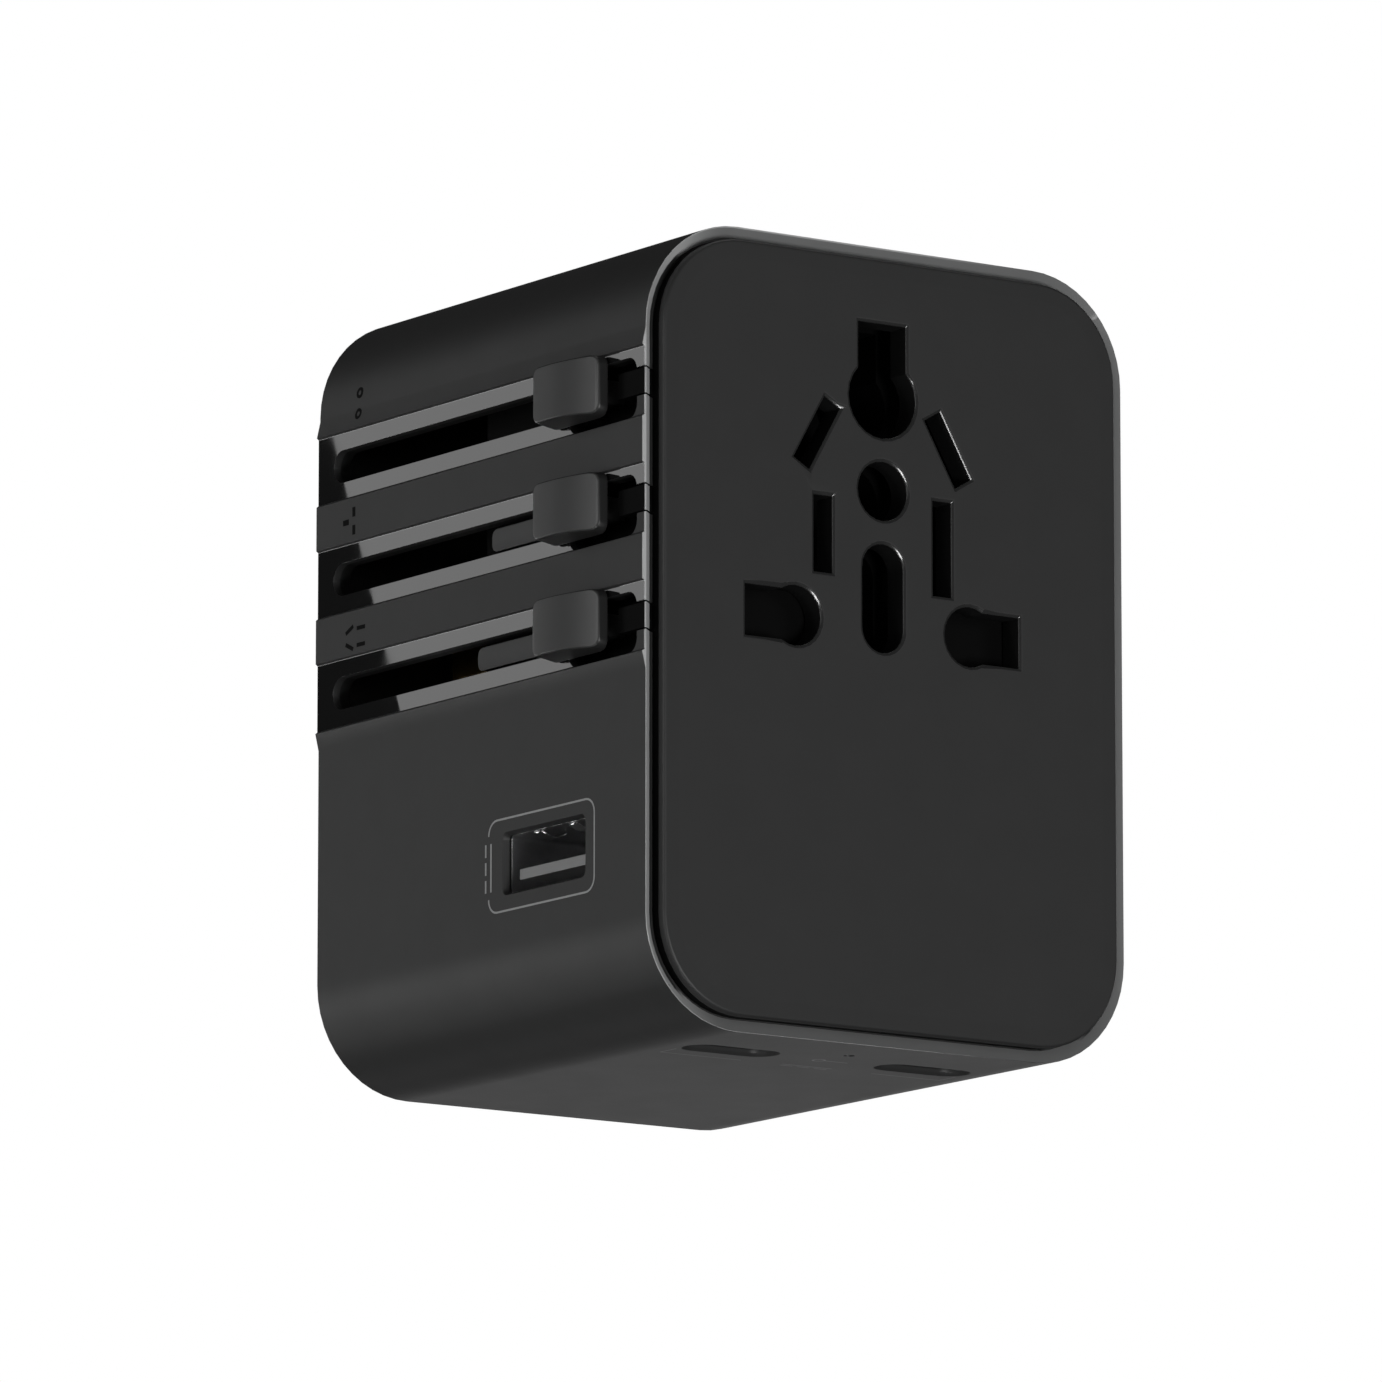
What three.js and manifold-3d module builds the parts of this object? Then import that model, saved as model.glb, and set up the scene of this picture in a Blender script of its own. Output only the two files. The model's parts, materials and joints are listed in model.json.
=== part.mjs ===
// Universal travel adapter: a rounded sleeve with three slider-driven plugs, a socket face and USB sockets.
// Frame: millimetres, +Z up, socket face towards -Y, sliders on the -X side, origin at the rear face's centre.

import * as THREE from 'three';
import { mergeVertices } from 'three/addons/utils/BufferGeometryUtils.js';
import Module from 'manifold-3d';

const wasm = await Module();
wasm.setup();

// ---------------------------------------------------------------- driving dimensions

const WIDTH = 50.2;
const HEIGHT = 69.4;
const DEPTH = 50.4;
const CORNER_RADIUS = 9.45;
const WALL = 1.5;
const CORNER_STEPS = 12;
const ROUND_STEPS = 24;

const SIDE_X = -WIDTH / 2;
const BOTTOM_Z = -HEIGHT / 2;
const FRONT_Y = -DEPTH;
const FIT_GAP = 0.12;
const CUT_MARGIN = 2;

// The front rim slopes inwards around the socket plate.
const RIM_WIDTH = 1.15;
const RIM_DEPTH = 0.95;

// A shallow raised pad on the slider side carries three channels.
const PAD_HEIGHT = 0.35;
const PAD_RAMP = 1.5;
const CHANNEL_RECESS = 0.2;
const CHANNEL_EDGE = 0.15;
const CHANNEL_HALF = 3.1;
const CHANNEL_PITCH = 10.1;
const CHANNEL_TOP_Z = 20.3;
const PAD_X = SIDE_X - PAD_HEIGHT;
const FLOOR_X = PAD_X + CHANNEL_RECESS;
const SLIDERS = ['eu', 'uk', 'us'];
const CHANNEL_Z = SLIDERS.map((_, index) => CHANNEL_TOP_Z - index * CHANNEL_PITCH);

// Each slot is a pocket at the front, a narrow mouth at the rim and a long run to the rear.
const SLOT_HEIGHT = 2.9;
const SLOT_END = 47.9;
const MOUTH_HEIGHT = 2.5;
const POCKET = { from: 1.2, to: 11.4, low: -3.05, high: 2.25, radius: 1.25 };
const TONGUE = { height: 2.2, to: 4.0 };

// The knob's outer face is an arc, highest near the rear; its sides lean in towards that face.
const KNOB = {
  from: 5.15,
  to: 13.6,
  foot: { low: -2.35, high: 3.0 },
  face: { low: -1.95, high: 2.85 },
  rise: 2.5,
  peak: 11,
  arcRadius: 13.5,
  cornerRadius: 0.9,
};
const KNOB_STEM = { from: 6.0, to: 12.0, height: 2.0 };
const KNOB_CLEARANCE = 0.2;
const KNOB_ARC_STEPS = 120;
const STEM_GAP = 0.06;

// Socket plate and its hole pattern, centred on the live and neutral line.
const PLATE_INSET = 1.24;
const PLATE_RISE = 0.85;
const PLATE_FILLET = 0.3;
const PLATE_BOSS_INSET = 3.6;
const PLATE_BOSS_DEPTH = 1.6;
const HOLE_BEVEL = { width: 0.38, depth: 0.18 };
const PATTERN_X = -0.97;
const PATTERN_Z = 1.5;
const PIN_HOLE = { x: 9.17, radius: 3.0, outerX: 14.79, flatHalf: 2.6 };
const FLAT_SLOT = { x: 6.28, width: 2.7, leftHeight: 7.45, rightHeight: 9.06, z: 7.37 };
const SLANT_SLOT = { x: 6.89, z: 16.1, width: 2.63, height: 7.23, angle: 30 };
const CENTRE_HOLE = { z: 11.75, radius: 2.95 };
const OBLONG_HOLE = { z: 2.4, width: 5.04, height: 10.22 };
const EARTH_ROUND = { z: 19.85, radius: 3.88 };
const EARTH_FLAT = { width: 5.76, bottom: 19.5, top: 26.75 };

const FRAME = { inset: 1.25, front: 0.05, back: 3.0, opening: 3.4 };
const CARRIER = { front: 4.0, back: 19.4, left: -19.7, right: 21.5, bottom: -14.3, top: 31.5, radius: 6, floor: 2 };
const CARRIER_HOLE_GROW = 0.2;
const LEAF = 0.6;
const LEAF_RELIEF = 0.25;
const POCKET_GAP = 0.1;

// Shutter behind the plate: it drops to open the two round pin holes.
const SHUTTER = { front: 1.8, back: 3.4, inner: 5.4, outer: 15.4, top: 3.6, shoulder: -3.6, bottom: -7.6, chamfer: 1.0 };
const SHUTTER_TRAVEL = 7;
const SPRING = { length: 12, radius: 0.75, wire: 0.18, turns: 9, station: 2.6, gap: 0.15 };
const SHELF = { halfWidth: 2.2, thickness: 1.1 };

// Plug pins, at rest inside the rear cover.
const COVER_THICKNESS = 2.5;
const BLOCK = { front: -29.5, back: -23.5 };
const ARM = { outer: -23.2, inner: -21.1, half: 2.6, from: 4.2 };
const STEM_END = { eu: 13.8, uk: 24.2, us: 26.3 };
const STEM_X = -24.5;
const EU_PIN = { x: 9.5, z: 9, radius: 2.0, tip: -1.0 };
const UK_PIN = { x: 11.1, z: -2, width: 6.35, height: 4, tip: -2.3 };
const UK_EARTH = { z: 20.2, width: 4, height: 8, tip: -2.0 };
const BLADE = { x: 6.35, z: -9.75, width: 1.5, height: 6.35, tip: -3.0, twist: 30 };
const ROTOR = { radius: 3.5, bore: 3.7, flange: 4.1, flangeDepth: 0.9 };
const COVER_CLEARANCE = 0.35;

const USB_A = { station: 15.3, z: -18.4, width: 12.05, height: 5.0, shell: 0.3, length: 14.5, recess: 0.8 };
const USB_A_CORNER = 0.4;
const USB_A_BEVEL = { width: 0.25, depth: 0.55 };
const USB_A_TONGUE = { width: 9.96, low: -1.45, high: -0.5, recess: 0.9 };
const USB_C = { x: [-9.85, 10.3], station: 9.3, width: 8.9, height: 3.2, shell: 0.25, length: 7 };
const LED = { x: 0.1, station: 5.9, radius: 0.45 };
const SCREW = { x: 18.76, z: 28.36, shaft: 1.1, head: 2.1, headDepth: 1.2, length: 9, boss: 3.8, bossEnd: -14 };

// ---------------------------------------------------------------- materials

const standard = (color, roughness, metalness = 0) => () =>
  new THREE.MeshStandardMaterial({ color, roughness, metalness });

const mattePlastic = standard(0x2a2b2b, 0.5);
const platePlastic = standard(0x272828, 0.55);
const glossPlastic = standard(0x0c0d0d, 0.15);
const knobPlastic = standard(0x3a3b3b, 0.45);
const greyPlastic = standard(0x3f4142, 0.5);
const innerPlastic = standard(0x1b1c1c, 0.6);
const whitePlastic = standard(0xd8d8d4, 0.5);
const nickel = standard(0xb8b6ae, 0.25, 1);
const brass = standard(0xb08d4a, 0.3, 1);
const steel = standard(0x9a9a9c, 0.3, 1);
const boardGreen = standard(0x1f4a2c, 0.55);
const windingYellow = standard(0xb59a3a, 0.6);
const capBlack = standard(0x1d2230, 0.35);
const clearLens = standard(0xcfd6da, 0.2);

// ---------------------------------------------------------------- outlines and solids

const radians = (degrees) => degrees * Math.PI / 180;

// A station counts millimetres back from the rim plane.
const station = (distance) => FRONT_Y + distance;

function roundedRect(width, height, radius, centre = [0, 0], steps = CORNER_STEPS) {
  const quarters = [[1, 1], [-1, 1], [-1, -1], [1, -1]];
  return quarters.flatMap(([signA, signB], quarter) => {
    const middle = [
      centre[0] + signA * (width / 2 - radius),
      centre[1] + signB * (height / 2 - radius),
    ];
    return Array.from({ length: steps + 1 }, (_, step) => {
      const angle = (quarter + step / steps) * Math.PI / 2;
      return [middle[0] + radius * Math.cos(angle), middle[1] + radius * Math.sin(angle)];
    });
  });
}

function rectangle(width, height, centre = [0, 0], angle = 0) {
  const cos = Math.cos(radians(angle));
  const sin = Math.sin(radians(angle));
  const corners = [[1, 1], [-1, 1], [-1, -1], [1, -1]];
  return corners.map(([signA, signB]) => {
    const a = signA * width / 2;
    const b = signB * height / 2;
    return [centre[0] + a * cos + b * sin, centre[1] - a * sin + b * cos];
  });
}

const span = (lowA, highA, lowB, highB) =>
  rectangle(highA - lowA, highB - lowB, [(lowA + highA) / 2, (lowB + highB) / 2]);

const circle = (radius, centre = [0, 0], steps = ROUND_STEPS) =>
  Array.from({ length: steps }, (_, step) => {
    const angle = step / steps * 2 * Math.PI;
    return [centre[0] + radius * Math.cos(angle), centre[1] + radius * Math.sin(angle)];
  });

// A long hole with round ends; the tiny trim keeps neighbouring arc ends apart.
function stadium(width, height, centre, steps = 6) {
  const trim = 0.01;
  return roundedRect(width, height, Math.min(width, height) / 2 - trim, centre, steps);
}

function solidFrom(geometry) {
  geometry.deleteAttribute('normal');
  geometry.deleteAttribute('uv');
  const merged = mergeVertices(geometry);
  return new wasm.Manifold(new wasm.Mesh({
    numProp: 3,
    vertProperties: new Float32Array(merged.attributes.position.array),
    triVerts: new Uint32Array(merged.index.array),
  }));
}

function facing([a, b, c], outline) {
  const [p, q, r] = [outline[a], outline[b], outline[c]];
  const area = (q[0] - p[0]) * (r[1] - p[1]) - (q[1] - p[1]) * (r[0] - p[0]);
  return area > 0 ? [a, b, c] : [a, c, b];
}

// Joins counter-clockwise outlines at rising places along an axis into one closed solid.
function loft(rings, axis = 'y') {
  const place = {
    x: (a, b, along) => [along, a, b],
    y: (a, b, along) => [a, along, b],
    z: (a, b, along) => [a, b, along],
  }[axis];
  const count = rings[0].outline.length;
  const last = (rings.length - 1) * count;
  const positions = rings.flatMap(({ at, outline }) => outline.flatMap(([a, b]) => place(a, b, at)));
  const contour = rings[0].outline.map(([a, b]) => new THREE.Vector2(a, b));
  const triangles = [];
  for (const face of THREE.ShapeUtils.triangulateShape(contour, [])) {
    const [i, j, k] = facing(face, rings[0].outline);
    triangles.push([k, j, i], [last + i, last + j, last + k]);
  }
  for (let ring = 0; ring < rings.length - 1; ring += 1) {
    for (let point = 0; point < count; point += 1) {
      const i = ring * count + point;
      const j = ring * count + (point + 1) % count;
      triangles.push([i, j, j + count], [i, j + count, i + count]);
    }
  }
  const turned = axis === 'y' ? triangles.map(([i, j, k]) => [k, j, i]) : triangles;
  const geometry = new THREE.BufferGeometry();
  geometry.setAttribute('position', new THREE.Float32BufferAttribute(positions, 3));
  geometry.setIndex(turned.flat());
  return solidFrom(geometry);
}

const prism = (outline, from, to, axis = 'y') =>
  loft([{ at: from, outline }, { at: to, outline }], axis);

const block = (x, y, z) => prism(span(...x, ...z), ...y);

const join = (first, ...others) => others.reduce((sum, other) => sum.add(other), first);

const cut = (body, ...tools) => tools.reduce((rest, tool) => rest.subtract(tool), body);

const adapter = new THREE.Group();

function addPiece(name, solid, material) {
  const { vertProperties, triVerts } = solid.getMesh();
  const geometry = new THREE.BufferGeometry();
  geometry.setAttribute('position', new THREE.BufferAttribute(vertProperties, 3));
  geometry.setIndex(new THREE.BufferAttribute(triVerts, 1));
  geometry.computeVertexNormals();
  const mesh = new THREE.Mesh(geometry, material());
  mesh.name = name;
  adapter.add(mesh);
}

const bodyOutline = (inset) =>
  roundedRect(WIDTH - 2 * inset, HEIGHT - 2 * inset, CORNER_RADIUS - inset);

// ---------------------------------------------------------------- housing

// The rounded section with the raised pad and its channels let into the slider side.
function sleeveOutline() {
  const rounded = bodyOutline(0);
  const half = rounded.length / 2;
  const padTop = CHANNEL_Z[0] + CHANNEL_HALF;
  const padBottom = CHANNEL_Z[CHANNEL_Z.length - 1] - CHANNEL_HALF;
  const channels = CHANNEL_Z.flatMap((z) => [
    [PAD_X, z + CHANNEL_HALF],
    [FLOOR_X, z + CHANNEL_HALF - CHANNEL_EDGE],
    [FLOOR_X, z - CHANNEL_HALF + CHANNEL_EDGE],
    [PAD_X, z - CHANNEL_HALF],
  ]);
  const pad = [[SIDE_X, padTop + PAD_RAMP], ...channels, [SIDE_X, padBottom - PAD_RAMP]];
  return [...rounded.slice(0, half), ...pad, ...rounded.slice(half)];
}

// The sloping inner face of the front rim, carried on in front of the rim plane.
function rimSlope() {
  const lead = 0.5;
  return loft([
    { at: station(-lead), outline: bodyOutline(-lead * RIM_WIDTH / RIM_DEPTH) },
    { at: station(RIM_DEPTH), outline: bodyOutline(RIM_WIDTH) },
  ]);
}

function slotCutters(z) {
  const pocketMiddle = station((POCKET.from + POCKET.to) / 2);
  const pocketZ = z + (POCKET.low + POCKET.high) / 2;
  const pocketSize = [POCKET.to - POCKET.from, POCKET.high - POCKET.low];
  const runStart = station(POCKET.to - POCKET.radius - SLOT_HEIGHT);
  const runEnd = station(SLOT_END);
  const run = stadium(runEnd - runStart, SLOT_HEIGHT, [(runStart + runEnd) / 2, z]);
  const pocket = roundedRect(...pocketSize, POCKET.radius, [pocketMiddle, pocketZ], 5);
  const mouth = span(station(-CUT_MARGIN), pocketMiddle, z - MOUTH_HEIGHT / 2, z + MOUTH_HEIGHT / 2);
  return [run, pocket, mouth].map((outline) => prism(outline, PAD_X - 1, SIDE_X + WALL + 1, 'x'));
}

const usbAMiddle = [station(USB_A.station), USB_A.z];

const usbASection = (grow) =>
  roundedRect(USB_A.width + 2 * grow, USB_A.height + 2 * grow, USB_A_CORNER + grow, usbAMiddle, 3);

// A bevelled window, wider on the inside to take the end of the steel shell.
function usbAWindow() {
  const { width, depth } = USB_A_BEVEL;
  const lead = 1;
  const window = loft([
    { at: SIDE_X - lead, outline: usbASection(width + lead * width / depth) },
    { at: SIDE_X + depth, outline: usbASection(0) },
    { at: SIDE_X + WALL + CUT_MARGIN, outline: usbASection(0) },
  ], 'x');
  const seat = prism(
    usbASection(USB_A.shell + FIT_GAP),
    SIDE_X + USB_A.recess - POCKET_GAP,
    SIDE_X + WALL + CUT_MARGIN,
    'x',
  );
  return window.add(seat);
}

function usbCWindow(x) {
  const bevel = 0.3;
  const middle = [x, station(USB_C.station)];
  const opening = (grow) => stadium(USB_C.width + 2 * grow, USB_C.height + 2 * grow, middle);
  return loft([
    { at: BOTTOM_Z - 1, outline: opening(bevel + 1) },
    { at: BOTTOM_Z + bevel, outline: opening(0) },
    { at: BOTTOM_Z + WALL + 1, outline: opening(0) },
  ], 'z');
}

const screwPlaces = [[1, 1], [-1, 1], [-1, -1], [1, -1]].map(([signX, signZ]) => [signX * SCREW.x, signZ * SCREW.z]);

function housingSleeve() {
  const boreGap = 0.05;
  const shell = cut(
    prism(sleeveOutline(), FRONT_Y, 0),
    prism(bodyOutline(WALL), FRONT_Y - CUT_MARGIN, CUT_MARGIN),
    rimSlope(),
  );
  const bosses = screwPlaces.map((place) =>
    prism(circle(SCREW.boss, place), SCREW.bossEnd, -COVER_THICKNESS - FIT_GAP)
      .intersect(prism(bodyOutline(WALL / 2), FRONT_Y, 0)));
  const bores = screwPlaces.map((place) =>
    prism(circle(SCREW.shaft + boreGap, place), SCREW.bossEnd + 2, CUT_MARGIN));
  return cut(
    join(shell, ...bosses),
    ...bores,
    ...CHANNEL_Z.flatMap(slotCutters),
    usbAWindow(),
    ...USB_C.x.map(usbCWindow),
    prism(circle(LED.radius + boreGap, [LED.x, station(LED.station)], 16), BOTTOM_Z - 1, BOTTOM_Z + WALL + 1, 'z'),
  );
}

// The inner frame lines the rim and closes the front mouth of each slot with a tongue.
function frontFrame() {
  const ring = cut(
    loft([
      { at: station(FRAME.front), outline: bodyOutline(FRAME.inset) },
      { at: station(RIM_DEPTH - POCKET_GAP), outline: bodyOutline(FRAME.inset) },
    ]).add(prism(bodyOutline(WALL + FIT_GAP), station(FRAME.front), station(FRAME.back))),
    prism(bodyOutline(FRAME.opening), station(-CUT_MARGIN), station(FRAME.back + CUT_MARGIN)),
  );
  const tongues = CHANNEL_Z.map((z) => cut(
    block(
      [FLOOR_X + 0.05, SIDE_X + WALL + 1],
      [FRONT_Y, station(TONGUE.to)],
      [z - TONGUE.height / 2, z + TONGUE.height / 2],
    ),
    rimSlope(),
  ));
  const bridges = CHANNEL_Z.map((z) => block(
    [SIDE_X + RIM_WIDTH + POCKET_GAP, SIDE_X + FRAME.opening],
    [station(FRAME.front), station(FRAME.back)],
    [z - TONGUE.height / 2, z + TONGUE.height / 2],
  ));
  return join(ring, ...tongues, ...bridges);
}

// ---------------------------------------------------------------- socket plate

const onPattern = (x, z) => [PATTERN_X + x, PATTERN_Z + z];

// Every socket hole as a function that gives its outline at the plate's front, grown by a margin.
function socketHoles() {
  const both = [-1, 1];
  const pinRounds = both.map((side) => (grow) =>
    circle(PIN_HOLE.radius + grow, onPattern(side * PIN_HOLE.x, 0)));
  const pinFlats = both.map((side) => (grow) => rectangle(
    PIN_HOLE.outerX - PIN_HOLE.x + 2 * grow,
    2 * (PIN_HOLE.flatHalf + grow),
    onPattern(side * (PIN_HOLE.x + PIN_HOLE.outerX) / 2, 0),
  ));
  const flatSlots = both.map((side) => (grow) => rectangle(
    FLAT_SLOT.width + 2 * grow,
    (side < 0 ? FLAT_SLOT.leftHeight : FLAT_SLOT.rightHeight) + 2 * grow,
    onPattern(side * FLAT_SLOT.x, FLAT_SLOT.z),
  ));
  const slantSlots = both.map((side) => (grow) => rectangle(
    SLANT_SLOT.width + 2 * grow,
    SLANT_SLOT.height + 2 * grow,
    onPattern(side * SLANT_SLOT.x, SLANT_SLOT.z),
    -side * SLANT_SLOT.angle,
  ));
  const centre = (grow) => circle(CENTRE_HOLE.radius + grow, onPattern(0, CENTRE_HOLE.z));
  const oblong = (grow) =>
    stadium(OBLONG_HOLE.width + 2 * grow, OBLONG_HOLE.height + 2 * grow, onPattern(0, OBLONG_HOLE.z));
  const earthRound = (grow) => circle(EARTH_ROUND.radius + grow, onPattern(0, EARTH_ROUND.z));
  const earthFlat = (grow) => rectangle(
    EARTH_FLAT.width + 2 * grow,
    EARTH_FLAT.top - EARTH_FLAT.bottom + 2 * grow,
    onPattern(0, (EARTH_FLAT.top + EARTH_FLAT.bottom) / 2),
  );
  return [...pinRounds, ...pinFlats, ...flatSlots, ...slantSlots, centre, oblong, earthRound, earthFlat];
}

function bevelledHole(outlineAt) {
  const front = FRONT_Y - PLATE_RISE;
  const { width, depth } = HOLE_BEVEL;
  return loft([
    { at: front - depth, outline: outlineAt(width) },
    { at: front + depth, outline: outlineAt(-width) },
    { at: station(PLATE_BOSS_DEPTH + CUT_MARGIN), outline: outlineAt(-width) },
  ]);
}

function facePlate() {
  const front = FRONT_Y - PLATE_RISE;
  const steps = 3;
  const fillet = Array.from({ length: steps + 1 }, (_, step) => {
    const angle = step / steps * Math.PI / 2;
    return {
      at: front + PLATE_FILLET * (1 - Math.sin(angle)),
      outline: bodyOutline(PLATE_INSET + PLATE_FILLET * (1 - Math.cos(angle))),
    };
  }).reverse();
  const flange = loft([...fillet, { at: FRONT_Y, outline: bodyOutline(PLATE_INSET) }]);
  const boss = prism(bodyOutline(PLATE_BOSS_INSET), front + PLATE_RISE / 2, station(PLATE_BOSS_DEPTH));
  return cut(flange.add(boss), ...socketHoles().map(bevelledHole));
}

// ---------------------------------------------------------------- contacts and their carrier

const mirrorOutline = (outline) => outline.map(([a, b]) => [-a, b]).reverse();

const ontoPattern = (outline) => outline.map(([a, b]) => onPattern(a, b));

// The line contact: one leaf under the round pin hole and one beside the flat slot.
function pinContactOutline(grow) {
  const under = -PIN_HOLE.radius + HOLE_BEVEL.width - LEAF_RELIEF;
  const beside = -FLAT_SLOT.x + FLAT_SLOT.width / 2 - HOLE_BEVEL.width + LEAF_RELIEF;
  const end = -PIN_HOLE.outerX + 0.3;
  const top = 11.5;
  return [
    [end - grow, under - LEAF - grow],
    [beside + LEAF + grow, under - LEAF - grow],
    [beside + LEAF + grow, top + grow],
    [beside - grow, top + grow],
    [beside - grow, under + grow],
    [end - grow, under + grow],
  ];
}

// The earth contact: a bridge over the flat earth hole with a leg down each side.
function earthContactOutline(grow) {
  const inner = EARTH_FLAT.width / 2 - HOLE_BEVEL.width + LEAF_RELIEF;
  const top = EARTH_FLAT.top - HOLE_BEVEL.width + LEAF_RELIEF;
  const legEnd = 23.5;
  return [
    [-inner - LEAF - grow, legEnd - grow],
    [-inner + grow, legEnd - grow],
    [-inner + grow, top - grow],
    [inner - grow, top - grow],
    [inner - grow, legEnd - grow],
    [inner + LEAF + grow, legEnd - grow],
    [inner + LEAF + grow, top + LEAF + grow],
    [-inner - LEAF - grow, top + LEAF + grow],
  ];
}

const contactShapes = {
  line_contact: (grow) => ontoPattern(pinContactOutline(grow)),
  neutral_contact: (grow) => ontoPattern(mirrorOutline(pinContactOutline(grow))),
  earth_contact: (grow) => ontoPattern(earthContactOutline(grow)),
};
const CONTACT = { front: 9.0, back: CARRIER.back - 0.2 };

const RAIL = { x: 13.1, thickness: 0.6, bottom: 2.4, top: 5.6, front: -32.3, back: -4 };

function railBlock(side, grow = 0) {
  const near = RAIL.x - grow;
  const far = RAIL.x + RAIL.thickness + grow;
  return block(
    side < 0 ? [-far, -near] : [near, far],
    [RAIL.front - grow, RAIL.back + grow],
    [RAIL.bottom - grow, RAIL.top + grow],
  );
}

const shelfZ = PATTERN_Z + SHUTTER.bottom - SPRING.gap * 2 - SPRING.length;

function contactCarrier() {
  const middle = [(CARRIER.left + CARRIER.right) / 2, (CARRIER.bottom + CARRIER.top) / 2];
  const outline = roundedRect(CARRIER.right - CARRIER.left, CARRIER.top - CARRIER.bottom, CARRIER.radius, middle, 5);
  const holes = socketHoles().map((outlineAt) =>
    prism(outlineAt(CARRIER_HOLE_GROW - HOLE_BEVEL.width), station(CARRIER.front - 1), station(CARRIER.back - CARRIER.floor)));
  const pockets = Object.values(contactShapes).map((shape) =>
    prism(shape(POCKET_GAP), station(CONTACT.front - POCKET_GAP), station(CARRIER.back + 1)));
  const shelfX = [PATTERN_X - SHELF.halfWidth, PATTERN_X + SHELF.halfWidth];
  const hanger = block(shelfX, [station(CARRIER.front), station(CARRIER.front + 1.4)],
    [shelfZ - SHELF.thickness, CARRIER.bottom + 1]);
  const shelf = block(shelfX, [station(SHUTTER.front + 0.1), station(CARRIER.front + 1.4)],
    [shelfZ - SHELF.thickness, shelfZ]);
  return cut(
    join(prism(outline, station(CARRIER.front), station(CARRIER.back)), hanger, shelf),
    ...holes,
    ...pockets,
    railBlock(-1, POCKET_GAP),
    railBlock(1, POCKET_GAP),
  );
}

// ---------------------------------------------------------------- shutter and spring

function safetyShutter() {
  const { inner, outer, top, shoulder, bottom } = SHUTTER;
  const outline = (lift) => ontoPattern([
    [-outer, bottom],
    [outer, bottom],
    [outer, top - lift],
    [inner, top - lift],
    [inner, shoulder],
    [-inner, shoulder],
    [-inner, top - lift],
    [-outer, top - lift],
  ]);
  return loft([
    { at: station(SHUTTER.front), outline: outline(SHUTTER.chamfer) },
    { at: station(SHUTTER.front + SHUTTER.chamfer), outline: outline(0) },
    { at: station(SHUTTER.back), outline: outline(0) },
  ]);
}

class Coil extends THREE.Curve {
  getPoint(t, target = new THREE.Vector3()) {
    const angle = t * SPRING.turns * 2 * Math.PI;
    return target.set(
      PATTERN_X + SPRING.radius * Math.cos(angle),
      station(SPRING.station) + SPRING.radius * Math.sin(angle),
      shelfZ + SPRING.gap + SPRING.wire + t * (SPRING.length - 2 * SPRING.wire),
    );
  }
}

function shutterSpring() {
  const section = new THREE.Shape(circle(SPRING.wire, [0, 0], 6).map(([a, b]) => new THREE.Vector2(a, b)));
  const wire = new THREE.ExtrudeGeometry(section, { steps: SPRING.turns * 9, extrudePath: new Coil() });
  return solidFrom(wire);
}

// ---------------------------------------------------------------- sliders: knobs, carriages and pins

function knob(index) {
  const z = CHANNEL_Z[index];
  const foot = FLOOR_X - KNOB_CLEARANCE;
  const face = FLOOR_X - KNOB.rise;
  const section = ({ low, high }) => roundedRect(
    KNOB.to - KNOB.from,
    high - low,
    KNOB.cornerRadius,
    [station((KNOB.from + KNOB.to) / 2), z + (low + high) / 2],
    4,
  );
  const sides = loft([
    { at: face, outline: section(KNOB.face) },
    { at: foot, outline: section(KNOB.foot) },
  ], 'x');
  const roundOff = prism(
    circle(KNOB.arcRadius, [face + KNOB.arcRadius, station(KNOB.peak)], KNOB_ARC_STEPS),
    z + KNOB.foot.low - CUT_MARGIN,
    z + KNOB.foot.high + CUT_MARGIN,
    'z',
  );
  const stem = block(
    [foot - 0.1, ARM.inner],
    [station(KNOB_STEM.from), station(KNOB_STEM.to)],
    [z - KNOB_STEM.height / 2, z + KNOB_STEM.height / 2],
  );
  return sides.intersect(roundOff).add(stem);
}

// The arm runs along the inside of the slotted wall and holds the knob's stem.
function arm(index) {
  const z = CHANNEL_Z[index];
  const end = station(STEM_END[SLIDERS[index]]);
  const start = station(KNOB_STEM.to + 2 * STEM_GAP);
  const bar = block([ARM.outer, ARM.inner], [station(ARM.from), BLOCK.back], [z - ARM.half, z + ARM.half]);
  const filler = prism(
    roundedRect(end - start, KNOB_STEM.height, 0.7, [(start + end) / 2, z], 4),
    STEM_X,
    ARM.inner - 0.5,
    'x',
  );
  const socket = block(
    [STEM_X - 1, ARM.inner + 1],
    [station(KNOB_STEM.from) - STEM_GAP, station(KNOB_STEM.to) + STEM_GAP],
    [z - KNOB_STEM.height / 2 - STEM_GAP, z + KNOB_STEM.height / 2 + STEM_GAP],
  );
  return cut(bar.add(filler), socket);
}

const inBlock = (x, z) => block(x, [BLOCK.front, BLOCK.back], z);

function carriageEu() {
  const z = CHANNEL_Z[0];
  const leg = { near: 6.5, far: 12.5, bottom: 6.4, top: 31.2, bar: 26.4 };
  const pinGap = 0.04;
  return cut(
    join(
      arm(0),
      inBlock([ARM.outer, -leg.near], [z - 2, z + 2]),
      inBlock([-leg.far, -leg.near], [leg.bottom, leg.top]),
      inBlock([-leg.far, leg.far], [leg.bar, leg.top]),
      inBlock([leg.near, leg.far], [leg.bottom, leg.top]),
    ),
    ...[-1, 1].map((side) => prism(circle(EU_PIN.radius + pinGap, [side * EU_PIN.x, EU_PIN.z]), -35, 0)),
  );
}

const pinHole = (width, height, centre) => prism(rectangle(width + 0.1, height + 0.1, centre), -35, 0);

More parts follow.
